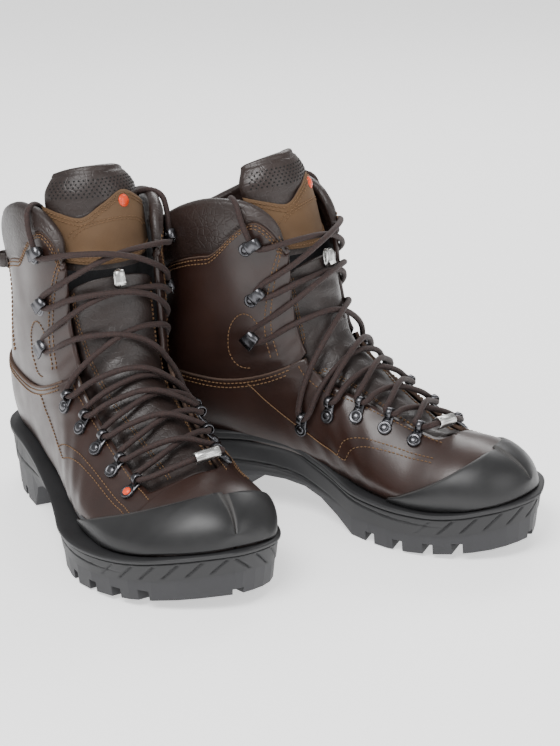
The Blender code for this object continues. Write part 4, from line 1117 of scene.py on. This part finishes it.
def build_tongue(stand):
    rows = [[tongue_at(v, f)[0] for v in np.linspace(1.0, -1.0, 49)] for f in np.linspace(0.0, 1.0, 150)]
    points, faces = sheet_grid(rows)
    obj = thing(stand.label + "_tongue", stand.world(points), faces, ["gusset"])
    face_up(obj, stand.world((0.0, 90.0, 60.0)))
    thicken(obj, 3.0)
    return obj


@lru_cache(maxsize=None)
def top_point(s, h, out=0.0):
    return tongue_top(s, h, out)


def build_tongue_cushion(stand):
    """Free top of the tongue: padded, rolled at its edges."""
    rows = []
    across = np.linspace(1.0, -1.0, 57)
    for h in np.linspace(0.0, 1.0, 56):
        puff = 1.6 * math.sin(math.pi * min(max((h - 0.62) / 0.36, 0.0), 1.0)) - 0.8 * (h > 0.975)
        rows.append([top_point(s, h, puff * (1 - abs(s) ** 6) - 1.4 * max(abs(s) - 0.93, 0) / 0.07) for s in across])
    top = np.array(rows[-1])
    back = np.array([top_point(s, 1.0, -8.0) for s in across])
    for k in range(1, 8):
        w = math.pi * k / 8.0
        mid = 0.5 * (top + back)
        rows.append(mid + (top - mid) * math.cos(w) + np.array([0.0, -0.5, 3.4]) * math.sin(w))
    for h in np.linspace(1.0, 0.0, 30):
        rows.append([top_point(s, h, -8.0 + 6.0 * abs(s) ** 8) for s in across])
    points, faces = sheet_grid(rows)
    uv = np.stack(np.meshgrid(np.linspace(0, 1, 57), np.linspace(0, 1.6, len(rows))), -1)
    mats = np.repeat([0 if i < 72 else 1 for i in range(len(rows) - 1)], 56)
    return thing(stand.label + "_tongue_cushion", stand.world(points), faces, ["napa", "lining"], mats, uv)


def top_normal(s, h):
    n = top_point(s, h, 1.0) - top_point(s, h, 0.0)
    return n / np.linalg.norm(n)


def badge_low(s):
    return 0.05 + 0.07 * s * s


def build_badge_panel(stand, flip):
    rows = []
    for f in np.linspace(0.0, 1.0, 36):
        row = []
        for s in np.linspace(0.98, -0.98, 57):
            h = badge_low(s) + (float(np.ravel(badge_height(s, flip))[0]) - badge_low(s)) * f
            row.append(top_point(s, h, 1.9 + 0.5 * math.sin(math.pi * f) ** 0.5))
        rows.append(row)
    points, faces = sheet_grid(rows)
    obj = thing(stand.label + "_badge_panel", stand.world(points), faces, ["nubuck", "edge"])
    face_up(obj, stand.world((0.0, 60.0, 190.0)))
    thicken(obj, 1.3, 1)
    heap = Heap()
    for inset in (0.035, 0.075):
        line = []
        for s in np.linspace(0.93, -0.93, 120):
            top = float(np.ravel(badge_height(s, flip))[0]) - inset
            line.append((top_point(s, top, 2.5), top_normal(s, top)))
        stitch_row(heap, line, 2.7, 2.0, 0.34)
        low = [(top_point(s, badge_low(s) + inset, 2.5), top_normal(s, badge_low(s) + inset)) for s in np.linspace(0.93, -0.93, 90)]
        stitch_row(heap, low, 2.7, 2.0, 0.34)
    for radius in (0.20, 0.225):
        arc = []
        for w in np.linspace(0.15, math.pi - 0.15, 40):
            s = (0.42 if flip else -0.42) * 0.3 + radius * 3.2 * math.cos(w)
            h = 0.30 + radius * 0.9 * math.sin(w)
            arc.append((top_point(s, h, 2.5), top_normal(s, h)))
        stitch_row(heap, arc, 2.7, 2.0, 0.3)
    stitches = heap.make(stand.label + "_badge_stitches", stand, ["thread"])
    at = 0.34 if flip else -0.34
    stud = Heap()
    centre = top_point(at, 0.655, 2.2)
    m = frame_of(centre, (0.31, 0.95, 0.1), top_normal(at, 0.655))
    lathe(stud, m, [(4.2, -0.6), (4.2, 0.3), (3.9, 0.7), (3.5, 0.6), (3.3, 0.9), (2.6, 1.35), (1.4, 1.6), (0.3, 1.65)])
    return [obj, stitches, stud.make(stand.label + "_badge_stud", stand, ["orange"])]


def build_perforation_shade_discs(stand):
    """Near-black discs in staggered rows across the cushion above the badge: painted shade standing in for small round
    holes.
    """
    heap = Heap()
    for i, h in enumerate(np.arange(0.74, 0.93, 0.032)):
        for s in np.arange(-0.82 + 0.04 * (i % 2), 0.84, 0.08):
            p, n = top_point(s, h, 1.75 * (1 - abs(s) ** 6) * math.sin(math.pi * (h - 0.62) / 0.36)), top_normal(s, h)
            # each disc is painted shade in place of a real hole
            lathe(heap, frame_of(p, (1.0, 0.1, 0.2), n), [(0.62, -0.25), (0.62, 0.12), (0.1, 0.1)], sides=8)
    return heap.make(stand.label + "_perforation_shade_discs", stand, ["hole"])


# ------------------------------------------------------------------ rubber

def build_rand(stand):
    half = 20
    objs = []
    rows = []
    for side in (1.0, -1.0):
        end = rand_end_u(side)
        stations = dense([.22, .35, .7, 1.1, 1.6, 2.2, 2.8, 3.4, 4.0, 4.7, end], 0.16)
        part = []
        for u in stations:
            low, high = rand_levels(u, side)
            low = low - 0.06
            if u == end:
                high = low
            f = np.linspace(0.0, 1.0, half + 1)
            bulge = 1.1 + 1.3 * np.sqrt(np.clip(1.0 - f ** 6, 0.0, 1.0))
            a = low + (high - low) * f
            part.append(upper_at(np.full_like(a, u), a, np.full_like(a, side), bulge + 0.4))
        rows.append(np.array(part))
    grid = np.concatenate([rows[1][::-1], rows[0]])
    first, last = len(rows[1]) - 7, len(rows[1]) + 6
    ahead = (grid[first] - grid[first - 2]) * 0.5 * (last - first)
    behind = (grid[last + 2] - grid[last]) * 0.5 * (last - first)
    for i in range(first + 1, last):
        t = (i - first) / (last - first)
        grid[i] = (2 * t**3 - 3 * t**2 + 1) * grid[first] + (t**3 - 2 * t**2 + t) * ahead
        grid[i] += (3 * t**2 - 2 * t**3) * grid[last] + (t**3 - t**2) * behind
    points, faces = sheet_grid(grid)
    mats = [1 if (i % half) >= half - 1 else 0 for i in range(len(faces))]
    obj = thing(stand.label + "_toe_rand_skin", stand.world(points), faces, ["rand", "rand_edge"], mats)
    face_up(obj, stand.world((0.0, 200.0, 40.0)))
    thicken(obj, 1.6, 1)
    return obj


def perimeter(count):
    """Round the sole from the toe: (x, y, side) in mm, and the outward direction."""
    w = np.linspace(0.0, 2 * math.pi, count, endpoint=False)
    y = 303.4 - 303.4 * (1.0 - np.cos(w)) / 2.0
    x = np.where(np.sin(w) >= 0, side_x(y, 1.0), side_x(y, -1.0))
    side = np.where(np.sin(w) >= 0, 1.0, -1.0)
    ring = np.stack([x, y], 1)
    lengths = np.concatenate([[0.0], np.cumsum(np.linalg.norm(np.diff(np.r_[ring, ring[:1]], axis=0), axis=1))])
    even = np.linspace(0.0, lengths[-1], count, endpoint=False)
    closed = np.r_[ring, ring[:1]]
    ring = np.stack([np.interp(even, lengths, closed[:, k]) for k in range(2)], 1)
    side = np.where(np.interp(even, lengths, np.r_[w, 2 * math.pi]) < math.pi, 1.0, -1.0)
    tangent = np.roll(ring, -1, axis=0) - np.roll(ring, 1, axis=0)
    out = np.stack([-tangent[:, 1], tangent[:, 0]], 1)
    out /= np.linalg.norm(out, axis=1, keepdims=True)
    if ((ring - ring.mean(0)) * out).sum() < 0:
        out = -out
    return ring, side, out, even


def both(function, y, side):
    return np.where(side > 0, function(y, 1.0), function(y, -1.0))


def groove(t, width):
    """Depth share of a rounded groove at 0 of a repeating pattern."""
    d = np.abs((t + 0.5) % 1.0 - 0.5)
    return np.clip(1.0 - d / width, 0.0, 1.0) ** 1.5


def build_midsole_wall(stand):
    ring, side, out, along = perimeter(760)
    y = ring[:, 1]
    low = smooth_table(SOLE_JOINT, y)[:, 0]
    high = both(rim_height, y, side)
    rows = []
    toe = np.clip((y - 236.0) / 30.0, 0.0, 1.0)
    heel = np.clip((70.0 - y) / 25.0, 0.0, 1.0)
    waist = np.clip(1.0 - np.abs(y - 112.0) / 48.0, 0.0, 1.0)
    for f in np.linspace(-0.06, 1.0, 34):
        z = low + (high - low) * f
        d = 2.0 * f + 0.6
        d = d + 1.3 * np.clip((f - 0.80) / 0.03, 0.0, 1.0) - 1.6 * np.exp(-((f - 0.775) / 0.022) ** 2)
        band = np.clip((0.72 - f) / 0.10, 0.0, 1.0) * np.clip((f - 0.02) / 0.08, 0.0, 1.0)
        slant = along / 15.0 + side * f * 1.1
        cut = groove(slant, 0.11) * (toe * 1.7 + heel * 1.2)
        sweep = groove(f * 1.6 + 0.004 * np.abs(along - 380.0) + 0.25, 0.10) * (1.0 - toe) * (1.2 + 1.2 * waist)
        facet = 0.9 * waist * np.sin(f * 6.0 + y * 0.06)
        d = d - band * (cut + sweep) + band * facet - 0.5 * waist * (1 - f)
        d = d - 1.2 * np.clip((f - 0.96) / 0.04, 0.0, 1.0) ** 2
        rows.append(np.stack([ring[:, 0] + out[:, 0] * d, ring[:, 1] + out[:, 1] * d, z], 1))
    for d in (0.3, -3.0, -7.0, -11.0):
        rows.append(np.stack([ring[:, 0] + out[:, 0] * d, ring[:, 1] + out[:, 1] * d, high + 0.1 + 0.06 * min(d, 0)], 1))
    grid = np.array(rows)
    grid = np.concatenate([grid, grid[:, :1]], axis=1)
    points, faces = sheet_grid(grid)
    obj = thing(stand.label + "_sidewall", stand.world(points), faces, ["midsole"], merge=0.000005)
    face_up(obj, stand.world((0.0, 150.0, 35.0)))
    return obj


# ------------------------------------------------------------------ fittings

def rivet(heap, m, radius=4.5, mat=0):
    lathe(heap, m, [(radius, -0.4), (radius, 1.3), (radius - 0.35, 1.75), (radius - 1.2, 1.85), (radius - 1.7, 1.45), (radius - 1.9, 1.5)])
    lathe(heap, m, [(radius - 1.75, 1.1), (radius - 1.9, 1.9), (radius - 2.4, 2.35), (radius - 3.3, 2.65), (0.2, 2.75)], mat)


def build_loop_fitting(heap, m, mat=0):
    slab(heap, m, oval(0.0, 10.6, 4.0, 2.4), 0.0, 1.25)
    rivet(heap, m, 4.6, mat)
    path = [(TUNNEL_X - 3.2, 0.4)]
    path += [(TUNNEL_X - 3.2 * math.cos(w), TUNNEL_Z + 3.2 * math.sin(w)) for w in np.linspace(0.0, math.pi, 15)]
    path += [(TUNNEL_X + 3.2, 0.4)]
    strap(heap, m, path, lambda f: 4.4 - 0.8 * math.sin(math.pi * f), 1.1)


def hook_path(top, tip):
    """Side line of a hook: up from the plate, over, and back to a raised tip."""
    path = [(8.4, 0.6), (10.2, 0.7)]
    path += [(10.2 + 2.6 * math.sin(w), top / 2 + 0.35 - (top / 2 - 0.35) * math.cos(w)) for w in np.linspace(0.3, math.pi - 0.2, 10)]
    path += [(9.4, top), (7.4, top - 0.1), (5.4, top), (tip, top + 0.7)]
    return path


def build_speed_fitting(heap, m):
    slab(heap, m, oval(-0.5, 9.0, 4.1, 3.0), 0.0, 1.25)
    rivet(heap, m, 4.6)
    strap(heap, m, hook_path(6.7, 3.4), lambda f: 5.2 + 2.6 * f, 1.2)


def build_lock_fitting(heap, m):
    slab(heap, m, [(9.6, -3.4), (11.0, -1.5), (11.0, 1.5), (9.6, 3.4), (3.0, 5.0), (0.5, 8.8), (-3.0, 8.8), (-4.6, 6.4), (-4.6, -6.4), (-3.0, -8.8), (0.5, -8.8), (3.0, -5.0)], 0.0, 1.4)
    for dy in (-5.0, 5.0):
        rivet(heap, m @ Matrix.Translation((-0.8, dy, 0.0)), 3.7)
    strap(heap, m, hook_path(6.9, 2.8), lambda f: 5.0 + 5.2 * f, 1.3)
    strap(heap, m, [(3.6, 1.2), (4.2, 2.6), (5.0, 3.4), (6.2, 3.6)], lambda f: 5.5 - 2.0 * f, 0.9)


def build_fittings(stand):
    objs = []
    for side, word in ((1.0, "outer"), (-1.0, "inner")):
        for row in range(LOOP_ROWS):
            heap = Heap()
            orange = side > 0 and row == 0 and not stand.mirror
            build_loop_fitting(heap, loop_matrix(side, row), 1 if orange else 0)
            name = "%s_loop_fitting_%s_%d" % (stand.label, word, row + 1)
            obj = heap.make(name, stand, ["steel", "orange"])
            objs.append((obj, "loop_%s_%d" % (word, row + 1)))
        heap = Heap()
        build_lock_fitting(heap, hook_matrix(side, "lock_hook"))
        objs.append((heap.make("%s_lock_fitting_%s" % (stand.label, word), stand, ["steel"]), "lock_hook_" + word))
        for i in (1, 2):
            heap = Heap()
            build_speed_fitting(heap, hook_matrix(side, "speed_hook_%d" % i))
            name = "%s_speed_fitting_%s_%d" % (stand.label, word, i)
            objs.append((heap.make(name, stand, ["steel"]), "speed_hook_%s_%d" % (word, i)))
    return objs


def build_keeper(stand):
    heap = Heap()
    m = tongue_hook_matrix()
    m = m @ Matrix.Translation((0.0, 0.0, 1.2))
    slab(heap, m, oval(-3.0, 3.0, 3.2, 3.2), 0.0, 1.0)
    strap(heap, m, [(-4.6, 0.5), (-5.6, 1.8), (-5.4, 3.6), (-4.0, 4.7), (-1.5, 4.9), (1.5, 4.7), (4.2, 5.2)], lambda f: 5.0 + 2.0 * f, 0.9)
    return heap.make(stand.label + "_keeper", stand, ["silver"])


def build_tag(stand):
    heap = Heap()
    m = tag_frame()
    path = [(-3.2, -2.0), (-3.3, 0.5), (-2.9, 2.3), (-1.8, 3.2), (0.0, 3.45), (1.8, 3.2), (2.9, 2.3), (3.3, 0.5), (3.2, -2.0)]
    turn = m @ Matrix.Rotation(math.pi / 2, 4, "Z")
    strap(heap, turn, path, lambda f: 17.0, 0.9)
    slab(heap, m @ Matrix.Translation((0.0, 0.0, 3.3)), [(-7.0, -1.5), (7.0, -1.5), (7.0, 1.5), (-7.0, 1.5)], 0.0, 0.8, 0, 0.3)
    return heap.make(stand.label + "_tag_plate", stand, ["silver"])


def build_pull(stand):
    heap = Heap()
    m = heel_pull_matrix()
    path = [(-4.6, 0.3)] + [(-4.6 * math.cos(w), 3.0 + 4.6 * math.sin(w)) for w in np.linspace(0.0, math.pi, 17)] + [(4.6, 0.3)]
    strap(heap, m, path, lambda f: 9.6, 1.5)
    strap(heap, m, [(x, z + 0.8) for x, z in path[6:13]], lambda f: 6.0, 0.6, 1)
    for dx in (-6.6, 6.6):
        slab(heap, m @ Matrix.Translation((dx, 0.0, 0.2)), [(-2.4, -4.6), (2.4, -4.6), (2.4, 4.6), (-2.4, 4.6)], 0.0, 1.2, 0, 0.3)
    return heap.make(stand.label + "_pull_strap", stand, ["napa", "edge"])


def build_lace_cord(stand):
    route = resample(rounded(lace_points(), 3), 0.62)
    points, faces, uv = tube_data(route, LACE_DIAMETER / 2.0 - 0.12, 16, 2.1, 0.12)
    return thing(stand.label + "_lace_cord", stand.world(points), faces, ["lace"], uv=uv)


def build_insole(stand):
    ys = np.linspace(10.0, 288.0, 70)
    rows = []
    for y in ys:
        z = float(np.interp(y, [4, 28, 70, 115, 150, 180, 230, 290], [33, 32, 32, 31, 29, 27, 24, 26.5])) + 8.6
        left, right = float(side_x(y, 1.0)[0]) - 9.0, float(side_x(y, -1.0)[0]) + 9.0
        rows.append([(left + (right - left) * t, y, z + 3.0 * (2 * t - 1) ** 4) for t in np.linspace(0, 1, 21)])
    points, faces = sheet_grid(rows)
    uv = points[:, :2] / 40.0
    obj = thing(stand.label + "_insole", stand.world(points), faces, ["footbed"], uv=uv)
    thicken(obj, 3.0)
    return obj


# ------------------------------------------------------------------ sewing

def surface_line(spots, side, out=0.2):
    """(point, normal) pairs for (u, a) spots on the foot part."""
    line = []
    for u, a in spots:
        p = foot_surface(float(u), float(a), side, out)
        line.append((p, upper_normal(float(u), float(a), side)))
    return line


def cuff_line(side, spots, out=0.15):
    line = []
    for c, r in spots:
        line.append(cuff_at(side, float(c), float(r), out))
    return line


@lru_cache(maxsize=None)
def near_facing(side, inset, start=5.0, end=None):
    """A line on the foot part beside the facing edge, inset in mm."""
    spots = []
    top = end or 11.2
    for u in np.linspace(start, top, 70):
        a = find_a(float(u), side, lambda p: side * (throat_x(p[:, 1], side) + side * inset - p[:, 0]), 0.03)
        p = upper(float(u), a, side)
        if p[2] < float(seam_height(p[1])) - 1.5:
            spots.append((u, a))
    return spots


@lru_cache(maxsize=None)
def under_seam(side, drop):
    """A line a little below the ankle seam, from the back to the facing."""
    spots = []
    for y in np.linspace(9.0, 139.0, 90):
        u, a = locate(y, float(seam_height(y)) - drop)
        limit = foot_edge_a(u, side)
        if a <= limit:
            spots.append((u, a))
    return spots


def build_sewing(stand):
    heap, trim = Heap(), Heap()
    for side in (1.0, -1.0):
        for inset in (2.6, 14.5, 17.0):
            stitch_row(heap, surface_line(near_facing(side, inset), side), 2.9, 2.1, 0.38)
        for drop in (2.6, 5.4):
            stitch_row(heap, surface_line(under_seam(side, drop), side), 3.1, 2.3, 0.42)
        seam = surface_line(under_seam(side, 0.2), side, -0.3)
        if len(seam) > 3:
            points, faces, _ = tube_data([p for p, _ in seam], 0.75, 8)
            trim.add(points, faces)
        share = np.linspace(0.02, 0.99, 150)
        for drop in (0.022, 0.048):
            spots = [(c, float(ear_share(c)) - drop) for c in share]
            stitch_row(heap, cuff_line(side, spots), 3.0, 2.2, 0.42)
        edge = cuff_line(side, [(c, float(ear_share(c)) - 0.003) for c in share], 0.25)
        points, faces, _ = tube_data([p for p, _ in edge], 0.55, 8)
        trim.add(points, faces)
        for c in (0.972, 0.945):
            stitch_row(heap, cuff_line(side, [(c, r) for r in np.linspace(0.12, 0.95, 100)]), 2.9, 2.1, 0.38)
        patch = []
        for w in np.linspace(0.25 * math.pi, 1.55 * math.pi, 60):
            patch.append((0.855 + 0.085 * math.cos(w), 0.235 + 0.145 * math.sin(w)))
        stitch_row(heap, cuff_line(side, patch), 2.8, 2.1, 0.38)
        for r in (0.985, 0.94):
            stitch_row(heap, cuff_line(side, [(c, r) for c in np.linspace(0.90, 0.99, 12)]), 2.8, 2.1, 0.38)
    for dc in (0.0, 0.022):
        down = [(0.30 + dc + 0.20 * t, 0.56 - 0.44 * t) for t in np.linspace(0, 1, 60)]
        back = [(0.29 - dc - 0.20 * t, 0.56 - 0.40 * t) for t in np.linspace(0, 1, 60)]
        stitch_row(heap, cuff_line(1.0, down), 3.0, 2.2, 0.42)
        stitch_row(heap, cuff_line(1.0, back), 3.0, 2.2, 0.42)
    for v in (0.60, 0.56, -0.60, -0.56):
        line = [tongue_at(v, f, 0.2) for f in np.linspace(0.05, 0.99, 120)]
        stitch_row(heap, line, 2.9, 2.1, 0.34)
    return heap.make(stand.label + "_stitches", stand, ["thread"]), trim.make(stand.label + "_cut_edges", stand, ["edge"])


# ------------------------------------------------------------------ the pair

SOFT_BLEND = []


def bend(obj, stand):
    stand.body("foot_part")
    stand.body("cuff_part")
    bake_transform(obj)
    return obj


def dress(stand):
    label = stand.label

    def node(name):
        return label + "_" + name

    foot = bend(build_foot_leather(stand), stand)
    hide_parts(node("upper_foot"))
    cuff, edge = build_cuff(stand)
    for obj in (cuff, edge):
        bend(obj, stand)
    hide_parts(node("ankle_cuff"))
    tongue = bend(build_tongue(stand), stand)
    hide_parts(node("tongue_lower"), node("tongue_upper"))
    cushion = build_tongue_cushion(stand)
    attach(cushion, stand.body("tongue_flap"))
    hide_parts(node("tongue_top"))
    panels = build_badge_panel(stand, stand.mirror) + [build_perforation_shade_discs(stand)]
    for obj in panels:
        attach(obj, stand.body("tongue_flap"))
    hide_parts(node("badge"))
    rand = build_rand(stand)
    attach(rand, stand.body("foot_part"))
    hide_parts(node("toe_rand"))
    wall = build_midsole_wall(stand)
    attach(wall, stand.body("foot_part"))
    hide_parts(node("midsole"))
    insole = build_insole(stand)
    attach(insole, stand.body("foot_part"))
    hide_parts(node("footbed"))
    for obj, cad in build_fittings(stand):
        bend(obj, stand)
        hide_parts(node(cad))
    keeper = bend(build_keeper(stand), stand)
    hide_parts(node("tongue_hook"))
    tag = build_tag(stand)
    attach(tag, stand.body("tag"))
    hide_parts(node("lace_tag"))
    pull = build_pull(stand)
    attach(pull, stand.body("pull_loop"))
    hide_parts(node("heel_pull"))
    lace = bend(build_lace_cord(stand), stand)
    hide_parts(node("lace"))
    for obj in build_sewing(stand):
        bend(obj, stand)
    sole = frame["nodes"][node("outsole")]
    sole.data.materials.clear()
    sole.data.materials.append(MATERIALS["tread"])
    round_edges(sole, 0.7, 2, 30.0)


for stand in STANDS:
    dress(stand)


# ------------------------------------------------------------------ floor, light and camera

def make_floor():
    mesh = bpy.data.meshes.new("floor")
    size = 6.0
    mesh.from_pydata([(-size, -size, -0.0005), (size, -size, -0.0005), (size, size, -0.0005), (-size, size, -0.0005)], [], [(0, 1, 2, 3)])
    floor = bpy.data.objects.new("floor", mesh)
    bpy.context.scene.collection.objects.link(floor)
    mat, nt, shader = node_material("pale_floor", 0.6)
    shader.inputs["Base Color"].default_value = (0.95, 0.95, 0.95, 1.0)
    shader.inputs["Emission Color"].default_value = (1.0, 1.0, 1.0, 1.0)
    shader.inputs["Emission Strength"].default_value = 0.9
    mesh.materials.append(mat)


def area_light(name, place, target, power, size, size_y=None):
    data = bpy.data.lights.new(name, "AREA")
    data.energy = power
    data.shape = "RECTANGLE"
    data.size = size
    data.size_y = size_y or size
    lamp = bpy.data.objects.new(name, data)
    lamp.location = place
    lamp.rotation_euler = (Vector(target) - Vector(place)).to_track_quat("-Z", "Y").to_euler()
    bpy.context.scene.collection.objects.link(lamp)


def make_light():
    world = bpy.data.worlds.new("studio")
    world.use_nodes = True
    back = world.node_tree.nodes["Background"]
    back.inputs["Color"].default_value = (1.0, 1.0, 1.0, 1.0)
    back.inputs["Strength"].default_value = 0.55
    bpy.context.scene.world = world
    area_light("key", (-0.5, -0.9, 1.6), (0.0, 0.0, 0.1), 34.0, 1.0)
    area_light("fill", (1.3, -0.9, 0.9), (0.0, 0.0, 0.1), 8.0, 1.0)
    area_light("rim", (0.3, 1.3, 1.2), (0.0, 0.0, 0.12), 14.0, 1.2, 0.6)


def make_camera():
    data = bpy.data.cameras.new("camera")
    data.sensor_fit = "VERTICAL"
    data.sensor_height = 36.0
    data.lens = 111.75
    data.clip_start = 0.05
    data.clip_end = 30.0
    data.dof.use_dof = False
    camera = bpy.data.objects.new("camera", data)
    tilt = Matrix.Rotation(math.pi / 2 - 0.31734, 4, "X")
    roll = Matrix.Rotation(-0.03143, 4, "Z")
    camera.matrix_world = Matrix.Translation((0.01027, -1.42906, 0.5747)) @ tilt @ roll
    bpy.context.scene.collection.objects.link(camera)
    bpy.context.scene.camera = camera


make_floor()
make_light()
make_camera()
